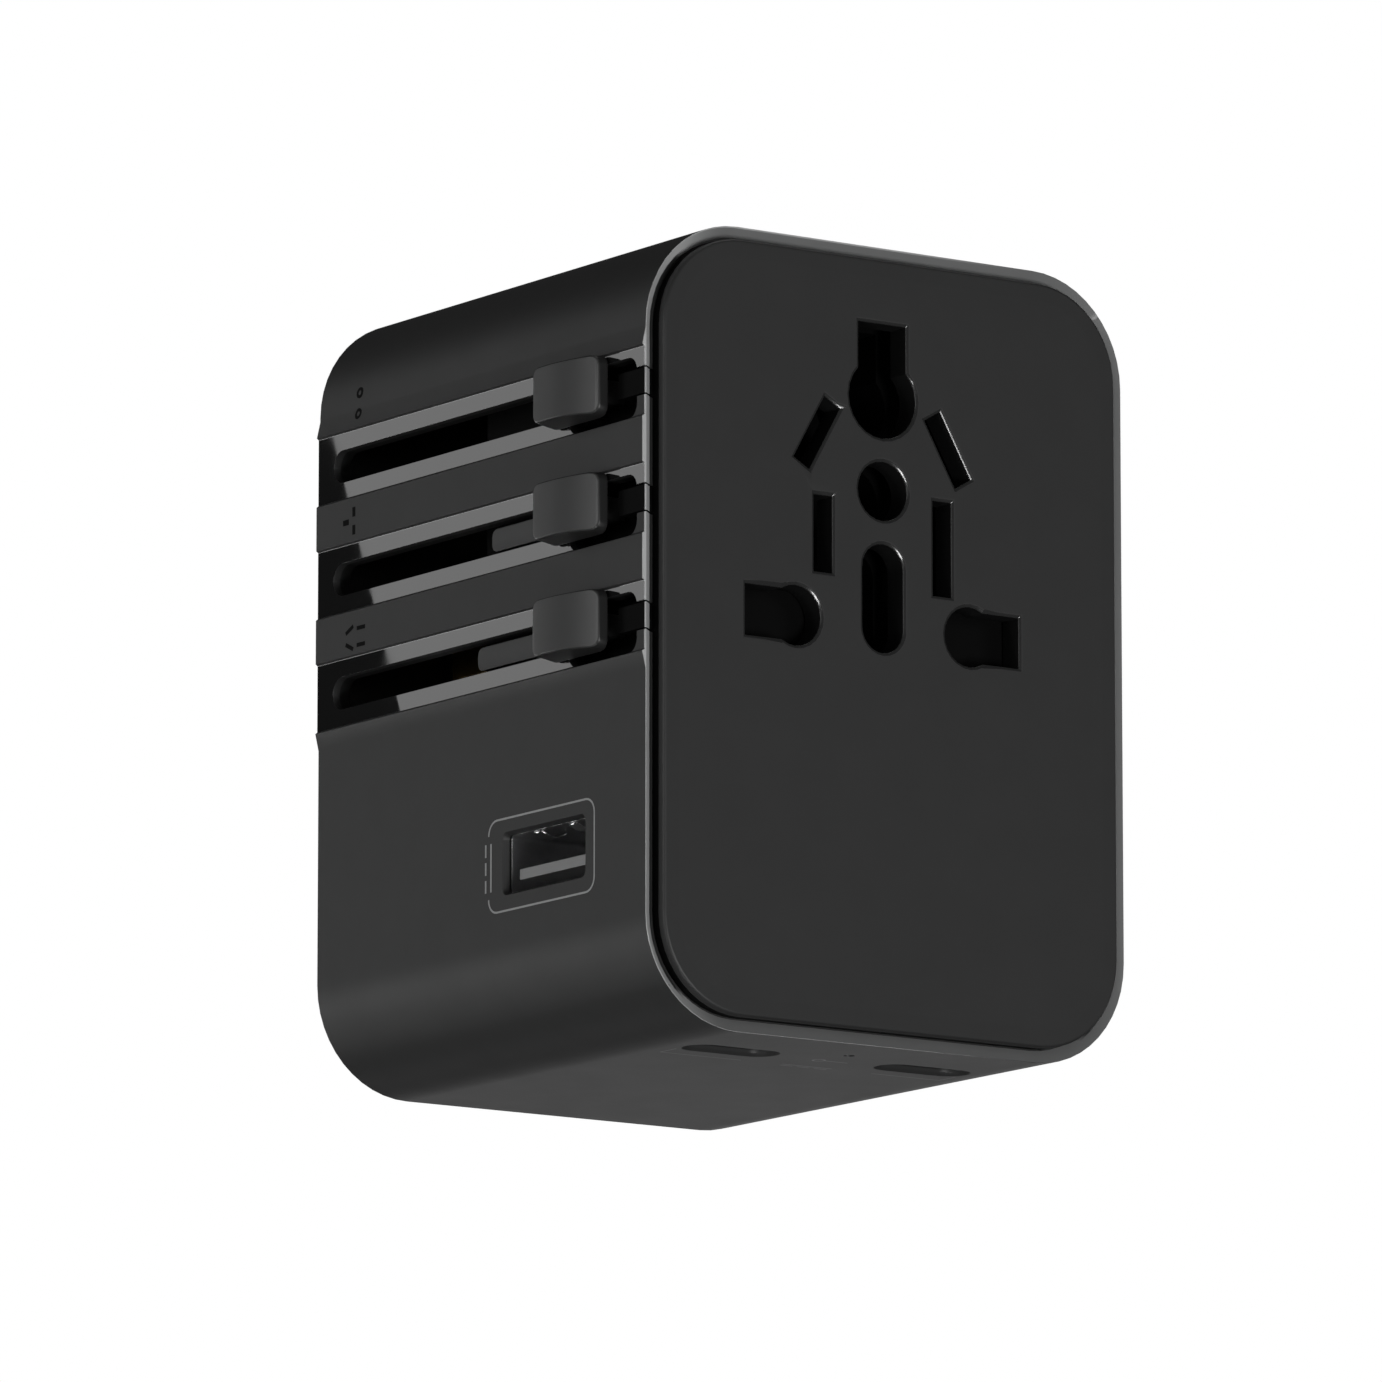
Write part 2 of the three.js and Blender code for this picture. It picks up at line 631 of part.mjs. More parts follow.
function carriageUk() {
  const z = CHANNEL_Z[1];
  const leg = { far: -19.5, near: -14.5, bottom: -4.5, bar: 0.5 };
  const post = { half: 3.2, top: 24.7 };
  return cut(
    join(
      arm(1),
      inBlock([ARM.outer, leg.near], [z - ARM.half, z + ARM.half]),
      inBlock([leg.far, leg.near], [leg.bottom, z]),
      inBlock([leg.far, -leg.near + 0.5], [leg.bottom, leg.bar]),
      inBlock([-post.half, post.half], [leg.bottom, post.top]),
    ),
    pinHole(UK_PIN.width, UK_PIN.height, [-UK_PIN.x, UK_PIN.z]),
    pinHole(UK_PIN.width, UK_PIN.height, [UK_PIN.x, UK_PIN.z]),
    pinHole(UK_EARTH.width, UK_EARTH.height, [0, UK_EARTH.z]),
  );
}

function carriageUs() {
  const z = CHANNEL_Z[2];
  const bar = { half: 4.5, end: 11.3 };
  return cut(
    join(
      arm(2),
      inBlock([ARM.outer, ARM.inner], [BLADE.z - bar.half, z + ARM.half]),
      inBlock([ARM.outer, bar.end], [BLADE.z - bar.half, BLADE.z + bar.half]),
    ),
    ...[-1, 1].map((side) => prism(circle(ROTOR.bore, [side * BLADE.x, BLADE.z]), -35, 0)),
  );
}

// A round pin with a domed tip.
function roundPin(x) {
  const centre = [x, EU_PIN.z];
  const steps = 4;
  const dome = Array.from({ length: steps }, (_, step) => {
    const angle = step / steps * Math.PI / 2;
    return {
      at: EU_PIN.tip - EU_PIN.radius * (1 - Math.sin(angle)),
      outline: circle(EU_PIN.radius * Math.cos(angle), centre),
    };
  });
  return loft([{ at: BLOCK.front, outline: circle(EU_PIN.radius, centre) }, ...dome]);
}

function squarePin(width, height, centre, tip) {
  const taper = 0.9;
  return loft([
    { at: BLOCK.front, outline: rectangle(width, height, centre) },
    { at: tip - taper, outline: rectangle(width, height, centre) },
    { at: tip, outline: rectangle(width - taper, height - taper, centre) },
  ]);
}

function blade(x) {
  const centre = [x, BLADE.z];
  const taper = 0.5;
  return loft([
    { at: BLOCK.front, outline: rectangle(BLADE.width, BLADE.height, centre) },
    { at: BLADE.tip - taper, outline: rectangle(BLADE.width, BLADE.height, centre) },
    { at: BLADE.tip, outline: rectangle(BLADE.width - taper, BLADE.height - taper, centre) },
  ]);
}

// The plastic drum that lets a flat blade twist in its carriage.
function bladeRotor(x) {
  const centre = [x, BLADE.z];
  const flangeBack = BLOCK.front - POCKET_GAP;
  return cut(
    join(
      prism(circle(ROTOR.radius, centre), flangeBack - 0.2, BLOCK.back),
      prism(circle(ROTOR.flange, centre), flangeBack - ROTOR.flangeDepth, flangeBack),
    ),
    prism(rectangle(BLADE.width + 0.1, BLADE.height + 0.1, centre), -35, 0),
  );
}

// A bowed leaf on the inside of the arm that clicks at the ends of travel.
function detentSpring(index) {
  const z = CHANNEL_Z[index];
  const bow = { from: 7.5, to: 16.5, rise: 0.62, leaf: 0.25, steps: 8 };
  const foot = ARM.inner + 0.06;
  const edge = (offset) => Array.from({ length: bow.steps + 1 }, (_, step) => {
    const t = step / bow.steps;
    return [foot + offset + bow.rise * Math.sin(Math.PI * t), station(bow.from + t * (bow.to - bow.from))];
  });
  return prism([...edge(bow.leaf), ...edge(0).reverse()], z - 1.5, z + 1.5, 'z');
}

// ---------------------------------------------------------------- rear cover and screws

function rearCover() {
  const open = (outline) => prism(outline, -COVER_THICKNESS - CUT_MARGIN, CUT_MARGIN);
  const clear = 2 * COVER_CLEARANCE;
  const fan = (side) => [0, 1, 2, 3].map((step) => open(rectangle(
    BLADE.width + clear,
    BLADE.height + clear,
    [side * BLADE.x, BLADE.z],
    -side * step * BLADE.twist / 3,
  )));
  const screwHole = (place) => loft([
    { at: -COVER_THICKNESS - 1, outline: circle(SCREW.shaft + 0.2, place) },
    { at: -SCREW.headDepth - 0.2, outline: circle(SCREW.shaft + 0.2, place) },
    { at: 0.2, outline: circle(SCREW.head + 0.4, place) },
  ]);
  return cut(
    prism(bodyOutline(WALL + FIT_GAP), -COVER_THICKNESS, 0),
    ...[-1, 1].map((side) => open(circle(EU_PIN.radius + COVER_CLEARANCE, [side * EU_PIN.x, EU_PIN.z]))),
    ...[-1, 1].map((side) =>
      open(rectangle(UK_PIN.width + clear, UK_PIN.height + clear, [side * UK_PIN.x, UK_PIN.z]))),
    open(rectangle(UK_EARTH.width + clear, UK_EARTH.height + clear, [0, UK_EARTH.z])),
    ...fan(-1),
    ...fan(1),
    ...screwPlaces.map(screwHole),
  );
}

// A countersunk screw with a cross recess.
function rearScrew(place) {
  const top = -0.15;
  const recess = { length: 2.2, width: 0.5, depth: 0.8 };
  return cut(
    loft([
      { at: top - SCREW.length, outline: circle(SCREW.shaft * 0.4, place, 16) },
      { at: top - SCREW.length + 1, outline: circle(SCREW.shaft, place, 16) },
      { at: top - SCREW.headDepth, outline: circle(SCREW.shaft, place, 16) },
      { at: top - 0.15, outline: circle(SCREW.head, place, 16) },
      { at: top, outline: circle(SCREW.head, place, 16) },
    ]),
    prism(rectangle(recess.length, recess.width, place), top - recess.depth, 1),
    prism(rectangle(recess.width, recess.length, place), top - recess.depth, 1),
  );
}

// ---------------------------------------------------------------- USB sockets and power supply

function usbAShell() {
  const front = SIDE_X + USB_A.recess;
  return cut(
    prism(usbASection(USB_A.shell), front, front + USB_A.length, 'x'),
    prism(usbASection(0), front - 1, front + USB_A.length - USB_A.shell, 'x'),
  );
}

function usbATongue() {
  const { width, low, high, recess } = USB_A_TONGUE;
  const [middleY, middleZ] = usbAMiddle;
  return block(
    [SIDE_X + recess, SIDE_X + USB_A.recess + USB_A.length - USB_A.shell - POCKET_GAP],
    [middleY - width / 2, middleY + width / 2],
    [middleZ + low, middleZ + high],
  );
}

function usbCShell(x) {
  const section = (grow) => stadium(USB_C.width + 2 * grow, USB_C.height + 2 * grow, [x, station(USB_C.station)]);
  const mouth = BOTTOM_Z + WALL + FIT_GAP;
  return cut(
    prism(section(0), mouth, mouth + USB_C.length, 'z'),
    prism(section(-USB_C.shell), mouth - 1, mouth + USB_C.length - USB_C.shell, 'z'),
  );
}

function usbCTongue(x) {
  const mouth = BOTTOM_Z + WALL + FIT_GAP;
  const y = station(USB_C.station);
  return block([x - 3.3, x + 3.3], [y - 0.35, y + 0.35], [mouth + 0.8, mouth + USB_C.length - USB_C.shell - 0.1]);
}

const BOARD = { bottom: -22.8, top: -21.65 };

function ledLightPipe() {
  const centre = [LED.x, station(LED.station)];
  return loft([
    { at: BOTTOM_Z + 0.15, outline: circle(LED.radius, centre, 16) },
    { at: BOTTOM_Z + WALL + FIT_GAP, outline: circle(LED.radius, centre, 16) },
    { at: BOTTOM_Z + WALL + 2 * FIT_GAP, outline: circle(2 * LED.radius, centre, 16) },
    { at: BOARD.bottom - 0.8, outline: circle(2 * LED.radius, centre, 16) },
  ], 'z');
}

function transformer() {
  const top = BOARD.bottom - 0.1;
  const core = block([-9, 9], [-35, -17], [top - 9.4, top]);
  const window = block([-6.5, 6.5], [-36, -16], [top - 7.4, top - 2]);
  const winding = prism(roundedRect(11.6, 4.6, 1.4, [0, top - 4.7], 4), -33.5, -18.5);
  const neck = block([-2, 2], [-31, -21], [top - 8, top - 1]);
  return join(cut(core, window), winding, neck);
}

const capacitor = (x) => loft([
  { at: -34, outline: circle(3.5, [x, -27]) },
  { at: -33.4, outline: circle(3.8, [x, -27]) },
  { at: -21, outline: circle(3.8, [x, -27]) },
]);

const FUSE = { x: 19.2, z: 8, radius: 2.6, front: -28, back: -8 };

const fuseBody = () => loft([
  { at: FUSE.front, outline: circle(FUSE.radius, [FUSE.x, FUSE.z]) },
  { at: FUSE.back, outline: circle(FUSE.radius, [FUSE.x, FUSE.z]) },
]);

// A spring clip that is open at the top.
function fuseClip(from, to) {
  const side = FUSE.radius + 0.55;
  return cut(
    block([FUSE.x - side, FUSE.x + side], [from, to], [FUSE.z - side, FUSE.z + 1.8]),
    prism(circle(FUSE.radius + 0.05, [FUSE.x, FUSE.z]), from - 1, to + 1),
    block([FUSE.x - 1.9, FUSE.x + 1.9], [from - 1, to + 1], [FUSE.z, FUSE.z + 4]),
  );
}

function fuseHolder() {
  const base = FUSE.z - FUSE.radius - 0.6;
  const wall = WIDTH / 2 - WALL - FIT_GAP;
  return join(
    block([FUSE.x - 3.4, wall], [FUSE.front - 1.5, FUSE.back + 1.5], [base - 1.6, base]),
    block([wall - 0.6, wall], [FUSE.front - 1.5, FUSE.back + 1.5], [base - 1.6, FUSE.z + 3]),
  );
}

// ---------------------------------------------------------------- assembly

addPiece('housing_sleeve', housingSleeve(), mattePlastic);
addPiece('front_frame', frontFrame(), glossPlastic);
addPiece('face_plate', facePlate(), platePlastic);
addPiece('rear_cover', rearCover(), mattePlastic);
screwPlaces.forEach((place, index) => addPiece(`rear_screw_${index + 1}`, rearScrew(place), steel));

addPiece('contact_carrier', contactCarrier(), innerPlastic);
for (const [name, shape] of Object.entries(contactShapes)) {
  addPiece(name, prism(shape(0), station(CONTACT.front), station(CONTACT.back)), brass);
}
addPiece('line_rail', railBlock(-1), brass);
addPiece('neutral_rail', railBlock(1), brass);
addPiece('safety_shutter', safetyShutter(), innerPlastic);
addPiece('shutter_spring', shutterSpring(), steel);

addPiece('carriage_eu', carriageEu(), greyPlastic);
addPiece('carriage_uk', carriageUk(), greyPlastic);
addPiece('carriage_us', carriageUs(), greyPlastic);
SLIDERS.forEach((name, index) => {
  addPiece(`knob_${name}`, knob(index), knobPlastic);
  addPiece(`detent_spring_${name}`, detentSpring(index), steel);
});

for (const [side, sign] of [['left', -1], ['right', 1]]) {
  addPiece(`eu_pin_${side}`, roundPin(sign * EU_PIN.x), nickel);
  addPiece(`us_blade_${side}`, blade(sign * BLADE.x), nickel);
  addPiece(`blade_rotor_${side}`, bladeRotor(sign * BLADE.x), greyPlastic);
}
addPiece('uk_pin_line', squarePin(UK_PIN.width, UK_PIN.height, [-UK_PIN.x, UK_PIN.z], UK_PIN.tip), nickel);
addPiece('uk_pin_neutral', squarePin(UK_PIN.width, UK_PIN.height, [UK_PIN.x, UK_PIN.z], UK_PIN.tip), nickel);
addPiece('uk_pin_earth', squarePin(UK_EARTH.width, UK_EARTH.height, [0, UK_EARTH.z], UK_EARTH.tip), nickel);

addPiece('partition', block([-20.5, 22.5], [station(6.5), -3.2], [-15.5, -14.8]), whitePlastic);
addPiece('usb_a_shell', usbAShell(), steel);
addPiece('usb_a_tongue', usbATongue(), greyPlastic);
USB_C.x.forEach((x, index) => {
  const side = ['left', 'right'][index];
  addPiece(`usb_c_shell_${side}`, usbCShell(x), steel);
  addPiece(`usb_c_tongue_${side}`, usbCTongue(x), innerPlastic);
});
addPiece('led_light_pipe', ledLightPipe(), clearLens);
addPiece('usb_board', block([-19, 19], [station(11.05), station(12.05)], [-32.4, -23.6]), boardGreen);
addPiece('power_board', block([-20.5, 21.5], [station(7.5), -3.4], [BOARD.bottom, BOARD.top]), boardGreen);
addPiece('transformer', transformer(), windingYellow);
addPiece('capacitor_left', capacitor(-15), capBlack);
addPiece('capacitor_right', capacitor(15), capBlack);
addPiece('fuse_holder', fuseHolder(), innerPlastic);
addPiece('fuse', fuseBody(), whitePlastic);
addPiece('fuse_clip_front', fuseClip(FUSE.front, FUSE.front + 5), brass);
addPiece('fuse_clip_rear', fuseClip(FUSE.back - 5, FUSE.back), brass);

export default adapter;
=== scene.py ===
import json
import math

import bmesh
import bpy
from mathutils import Matrix, Vector


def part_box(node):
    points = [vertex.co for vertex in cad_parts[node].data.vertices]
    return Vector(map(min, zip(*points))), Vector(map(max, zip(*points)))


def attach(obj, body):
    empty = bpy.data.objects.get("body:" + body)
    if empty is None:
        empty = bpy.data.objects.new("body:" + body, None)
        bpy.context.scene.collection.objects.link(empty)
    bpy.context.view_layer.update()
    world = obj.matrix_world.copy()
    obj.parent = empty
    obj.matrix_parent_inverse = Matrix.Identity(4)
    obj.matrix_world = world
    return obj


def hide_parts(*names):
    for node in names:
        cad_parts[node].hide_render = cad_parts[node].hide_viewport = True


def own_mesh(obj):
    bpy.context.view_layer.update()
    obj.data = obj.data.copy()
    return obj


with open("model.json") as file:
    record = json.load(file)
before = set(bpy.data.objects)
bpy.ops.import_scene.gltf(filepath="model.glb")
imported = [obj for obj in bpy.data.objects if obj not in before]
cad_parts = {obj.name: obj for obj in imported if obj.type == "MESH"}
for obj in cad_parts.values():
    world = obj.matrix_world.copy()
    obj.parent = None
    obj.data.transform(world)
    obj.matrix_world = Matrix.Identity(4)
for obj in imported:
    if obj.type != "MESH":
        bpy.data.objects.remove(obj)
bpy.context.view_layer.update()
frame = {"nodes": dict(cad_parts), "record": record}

MM = 0.001
scene = bpy.context.scene

# ------------------------------------------------------------------ places on the adapter, in millimetres

# The outer shell: its front rim, slider side, bottom and rounded corners.
FRONT_Y = -50.4
SIDE_X = -25.1
BOTTOM_Z = -34.7
CORNER_RADIUS = 9.45
RIM_DEPTH = 0.95
SKIN = 0.5
# The slider side: a raised pad that slopes down to the shell, and the channels in it.
PAD_X = -25.45
PAD_RAMP = 1.5
FLOOR_X = -25.25
CHANNEL_HALF = 3.1
CHANNEL_Z = (20.3, 10.2, 0.1)
# The lower part of each channel floor is matte by the rim.
MATTE_DEPTH = 1.9
MATTE_TOP = -1.0
# The socket plate: its front, the bevels round its holes, and its border without holes.
PLATE_FRONT = -51.25
HOLE_BEVEL = 0.32
PLATE_BORDER = 2.6
# Inside.
USB_A_ROOF = -15.92
COLLAR_END = -11.5
FUSE_TUBE = (-24.0, -12.0)


def station(distance):
    """Y of a place that far behind the front rim, as in the CAD."""
    return FRONT_Y + distance


AHEAD = station(-1)


# ------------------------------------------------------------------ node helpers


def fill(tree, socket, value):
    if isinstance(value, bpy.types.NodeSocket):
        tree.links.new(value, socket)
    else:
        socket.default_value = value


def add_node(tree, kind, inputs=None, **settings):
    made = tree.nodes.new(kind)
    for key, value in settings.items():
        setattr(made, key, value)
    for key, value in (inputs or {}).items():
        fill(tree, made.inputs[key], value)
    return made


def maths(tree, operation, first, second=0.0):
    return add_node(tree, "ShaderNodeMath", {0: first, 1: second}, operation=operation).outputs[0]


def every(tree, *masks):
    product = masks[0]
    for mask in masks[1:]:
        product = maths(tree, "MULTIPLY", product, mask)
    return product


def either(tree, *masks):
    largest = masks[0]
    for mask in masks[1:]:
        largest = maths(tree, "MAXIMUM", largest, mask)
    return largest


def inverse(tree, mask):
    return maths(tree, "SUBTRACT", 1.0, mask)


def ramp(tree, value, low, high, to_low=0.0, to_high=1.0):
    inputs = {"Value": value, "From Min": low, "From Max": high, "To Min": to_low, "To Max": to_high}
    return add_node(tree, "ShaderNodeMapRange", inputs, interpolation_type="SMOOTHSTEP").outputs["Result"]


def window(tree, value, low, high, soft):
    rise = ramp(tree, value, low - soft, low + soft)
    fall = ramp(tree, value, high - soft, high + soft, 1.0, 0.0)
    return maths(tree, "MULTIPLY", rise, fall)


def colour_between(tree, factor, first, second):
    made = add_node(tree, "ShaderNodeMix", {0: factor, 6: first, 7: second}, data_type="RGBA")
    return made.outputs[2]


def value_between(tree, factor, first, second):
    made = add_node(tree, "ShaderNodeMix", {0: factor, 2: first, 3: second}, data_type="FLOAT")
    return made.outputs[0]


def noise(tree, vector, scale, detail=2.0, roughness=0.5):
    inputs = {"Vector": vector, "Scale": scale, "Detail": detail, "Roughness": roughness}
    return add_node(tree, "ShaderNodeTexNoise", inputs).outputs["Fac"]


def scaled(tree, vector, factor):
    inputs = {0: vector, "Scale": factor}
    return add_node(tree, "ShaderNodeVectorMath", inputs, operation="SCALE").outputs["Vector"]


def stretched(tree, vector, scale):
    return add_node(tree, "ShaderNodeMapping", {"Vector": vector, "Scale": scale}).outputs["Vector"]


def edge_mask(tree, radius, low=0.02, high=0.3):
    """Rises towards 1 along edges, within the radius."""
    soft = add_node(tree, "ShaderNodeBevel", {"Radius": radius}, samples=4).outputs["Normal"]
    true = add_node(tree, "ShaderNodeNewGeometry").outputs["True Normal"]
    turn = add_node(tree, "ShaderNodeVectorMath", {0: soft, 1: true}, operation="DOT_PRODUCT")
    return ramp(tree, inverse(tree, turn.outputs["Value"]), low, high)


def grey(value):
    """A linear grey, slightly cool as in the photo."""
    cool = value * 1.01
    return (value, cool, cool, 1.0)


def shade(colour, factor):
    return tuple(min(1.0, channel * factor) for channel in colour[:3]) + (1.0,)


class Surface:
    """A principled material with its place in millimetres and its normal ready for masks."""

    def __init__(self, name):
        self.material = bpy.data.materials.new(name)
        self.material.use_nodes = True
        self.tree = self.material.node_tree
        self.shader = self.tree.nodes["Principled BSDF"]
        coordinates = add_node(self.tree, "ShaderNodeTexCoord")
        self.place = coordinates.outputs["Object"]
        millimetres = scaled(self.tree, self.place, 1 / MM)
        split = add_node(self.tree, "ShaderNodeSeparateXYZ", {"Vector": millimetres})
        self.x, self.y, self.z = (split.outputs[axis] for axis in "XYZ")
        turned = add_node(self.tree, "ShaderNodeSeparateXYZ", {"Vector": coordinates.outputs["Normal"]})
        self.normal = {axis: turned.outputs[axis] for axis in "XYZ"}

    def window(self, value, low, high, soft=0.02):
        return window(self.tree, value, low, high, soft)

    def spot(self, across, along, half_across, half_along, soft=0.02):
        """A rectangle on the bottom or the side: each argument pair is a centre and a half size."""
        first = self.window(across[0], across[1] - half_across, across[1] + half_across, soft)
        second = self.window(along[0], along[1] - half_along, along[1] + half_along, soft)
        return every(self.tree, first, second)

    def depth(self):
        """How far inside the adapter's rounded outline a point lies, seen from the front."""
        tree = self.tree
        out = []
        for value, half in ((self.x, -SIDE_X), (self.z, -BOTTOM_Z)):
            size = add_node(tree, "ShaderNodeMath", {0: value}, operation="ABSOLUTE").outputs[0]
            out.append(maths(tree, "SUBTRACT", size, half - CORNER_RADIUS))
        past = [maths(tree, "MAXIMUM", value, 0.0) for value in out]
        squares = [maths(tree, "MULTIPLY", value, value) for value in past]
        corner = maths(tree, "SQRT", maths(tree, "ADD", *squares))
        flat = maths(tree, "MINIMUM", maths(tree, "MAXIMUM", *out), 0.0)
        return maths(tree, "SUBTRACT", CORNER_RADIUS, maths(tree, "ADD", corner, flat))

    def set(self, **sockets):
        for name, value in sockets.items():
            fill(self.tree, self.shader.inputs[name.replace("_", " ")], value)


# ------------------------------------------------------------------ materials


# Noise scales count features per metre; spans are the noise values between which a mask rises.
GRAIN_SCALE = 5200.0
GRAIN_HEIGHT = 0.03 * MM
MOTTLE_SCALE = 240.0
MOTTLE_SHARE = 0.14
SPECK_SPAN = (0.62, 0.78)
SPECK_SHARE = 0.2
RUB_SCALE = 900.0
RUB_SPAN = (0.35, 0.65)
RUB_WIDTH = 0.2 * MM
LIGHTER = 1.6
ROUGHNESS_DRIFT = 0.05
# Below this roughness a zone is a mirror-like floor: flat, and without grain.
GLOSSY = 0.2
DEFAULT_SPECULAR = 0.5


def mould(surface, zones, roughness, grain=0.12, wear=0.3, specular=DEFAULT_SPECULAR):
    """Moulded plastic: spark-eroded grain, slow mottling and rubbed edges.

    zones lists (mask, colour, roughness); the first entry has no mask and covers everything.
    """
    tree, place = surface.tree, surface.place
    fine = noise(tree, place, GRAIN_SCALE, 3.0, 0.6)
    slow = noise(tree, place, MOTTLE_SCALE, 3.0)
    speck = maths(tree, "MULTIPLY", ramp(tree, fine, *SPECK_SPAN), SPECK_SHARE)
    patches = ramp(tree, noise(tree, place, RUB_SCALE), *RUB_SPAN)
    rubbed = every(tree, edge_mask(tree, RUB_WIDTH), patches, wear)
    base, rough, gloss = zones[0][1], roughness, 0.0
    for mask, colour, zone_roughness in zones[1:]:
        base = colour_between(tree, mask, base, colour)
        rough = value_between(tree, mask, rough, zone_roughness)
        if zone_roughness < GLOSSY:
            gloss = either(tree, gloss, mask) if gloss else mask
    base = colour_between(tree, maths(tree, "MULTIPLY", slow, MOTTLE_SHARE), base, (0, 0, 0, 1))
    light = scaled(tree, base, LIGHTER)
    base = colour_between(tree, speck, base, light)
    base = colour_between(tree, rubbed, base, light)
    drift = maths(tree, "MULTIPLY", maths(tree, "SUBTRACT", slow, 0.5), ROUGHNESS_DRIFT)
    rough = maths(tree, "ADD", rough, drift)
    strength = maths(tree, "MULTIPLY", inverse(tree, gloss), grain) if gloss else grain
    bump = add_node(tree, "ShaderNodeBump", {"Height": fine, "Strength": strength, "Distance": GRAIN_HEIGHT})
    normal = bump.outputs["Normal"]
    if gloss:
        flat = add_node(tree, "ShaderNodeNewGeometry").outputs["True Normal"]
        mixed = add_node(tree, "ShaderNodeMix", {0: gloss, 4: normal, 5: flat}, data_type="VECTOR")
        normal = mixed.outputs[1]
    surface.set(Base_Color=base, Roughness=rough, Normal=normal, Specular_IOR_Level=specular)
    return surface.material


def plastic(name, colour, roughness, **options):
    return mould(Surface(name), [(None, colour, roughness)], roughness, **options)


DRAWN_SCALE = 6000.0
DRAWN_HEIGHT = 0.01 * MM
DRAWN_STRENGTH = 0.12
SMOOTHEST = 0.7
ROUGHEST = 1.35
TARNISH_SCALE = 420.0
TARNISH_SPAN = (0.45, 0.75)
TARNISHED = 0.55
POLISHED = 1.25
POLISH_WIDTH = 0.15 * MM
POLISH_SHARE = 0.5
# Grain drawn along Y or along X: the noise is stretched to a small scale in that direction.
ALONG_Y = (1.0, 0.06, 1.0)
ALONG_X = (0.06, 1.0, 1.0)


def metal(name, colour, roughness, grain=ALONG_Y, tarnish=0.25, zones=()):
    """Plated or stamped metal: drawn grain, uneven tarnish, brighter edges.

    zones lists (mask maker, colour, roughness) of parts that aren't metal.
    """
    surface = Surface(name)
    tree, place = surface.tree, surface.place
    drawn = noise(tree, stretched(tree, place, grain), DRAWN_SCALE, 4.0, 0.65)
    slow = noise(tree, place, TARNISH_SCALE, 3.0)
    stained = maths(tree, "MULTIPLY", ramp(tree, slow, *TARNISH_SPAN), tarnish)
    base = colour_between(tree, stained, colour, shade(colour, TARNISHED))
    polished = maths(tree, "MULTIPLY", edge_mask(tree, POLISH_WIDTH), POLISH_SHARE)
    base = colour_between(tree, polished, base, shade(colour, POLISHED))
    rough = value_between(tree, drawn, roughness * SMOOTHEST, roughness * ROUGHEST)
    metallic = 1.0
    for make_mask, zone_colour, zone_roughness in zones:
        mask = make_mask(surface)
        base = colour_between(tree, mask, base, zone_colour)
        rough = value_between(tree, mask, rough, zone_roughness)
        metallic = value_between(tree, mask, metallic, 0.0)
    inputs = {"Height": drawn, "Strength": DRAWN_STRENGTH, "Distance": DRAWN_HEIGHT}
    bump = add_node(tree, "ShaderNodeBump", inputs)
    surface.set(Base_Color=base, Metallic=metallic, Roughness=rough, Normal=bump.outputs["Normal"])
    return surface.material


SHELL = grey(0.032)
SHELL_ROUGHNESS = 0.5
RIM = grey(0.25)
# Painted light: the rim's slope is painted paler where it faces the slider side.
RIM_PAINTED_LIGHT = grey(0.55)
# Painted highlight: a bright line painted along the rim's outer edge, fading away from the slider side and
# left off the top.
RIM_PAINTED_HIGHLIGHT = grey(0.6)
RIM_HIGHLIGHT_DEPTH = 0.12
RIM_SIDE_DEPTH = 0.6
RIM_BACK = station(RIM_DEPTH + 0.1)
RIM_ROUGHNESS = 0.32
RIM_HIGHLIGHT_ROUGHNESS = 0.25
FLOOR_GLOSS = grey(0.012)
FLOOR_ROUGHNESS = 0.012
FLOOR_BAND = 0.08
# Painted shade: insides are painted near black, far darker than the same plastic outside.
SHADED_INTERIOR = grey(0.003)
INTERIOR_Y = (station(1.3), -1.0)
# Painted shade: carriage parts seen through the slots are painted near black.
SLOT_SHADE_BLACK = grey(0.0015)
SLOT_FILLER = grey(0.06)
FILLER_X = (-26, -24.2)
PLATE = grey(0.031)
# Painted shade: the walls of the socket holes are painted darker than the plate.
HOLE_WALL_SHADE = grey(0.012)
BEVEL = grey(0.03)
BEVEL_ROUGHNESS = 0.21
# Painted light and shade: one knob plastic split into a lit face, shaded ends and half-lit edges by the way
# each part faces.
KNOB_SHADED_ENDS = grey(0.017)
KNOB_LIT_FACE = grey(0.058)
KNOB_HALF_LIT_EDGE = grey(0.045)
KNOB_EDGE_X = (-30, -26.4)
KNOB_ROUGHNESS = 0.42
KNOB_EDGE_ROUGHNESS = 0.24
PRINT = grey(0.2)
# Specular level of pieces that must stay near black.
DULL = 0.06

NICKEL = (0.62, 0.60, 0.56, 1)
BRASS = (0.60, 0.42, 0.16, 1)
COLLAR = grey(0.012)
CERAMIC = grey(0.6)
FERRITE = grey(0.025)
TAPE = (0.16, 0.09, 0.015, 1)
TAPE_SHARE = 0.55
BOARD = (0.012, 0.07, 0.028, 1)
TINNED = (0.4, 0.4, 0.38, 1)

# Spans of one part of the normal: sloping rim face, side-facing rim, shell side, hole bevels, knob.
SLOPE_NORMAL_Y = (-0.86, -0.66)
SIDEWAYS_NORMAL_X = ((-1, -0.4), (0.4, 1))
SIDE_NORMAL_X = (-0.995, -0.9)
BEVEL_NORMAL_Y = (-0.985, -0.6)
KNOB_FACE_NORMAL_X = (-0.94, -0.8)
KNOB_EDGE_NORMAL_X = (-0.9, -0.3)


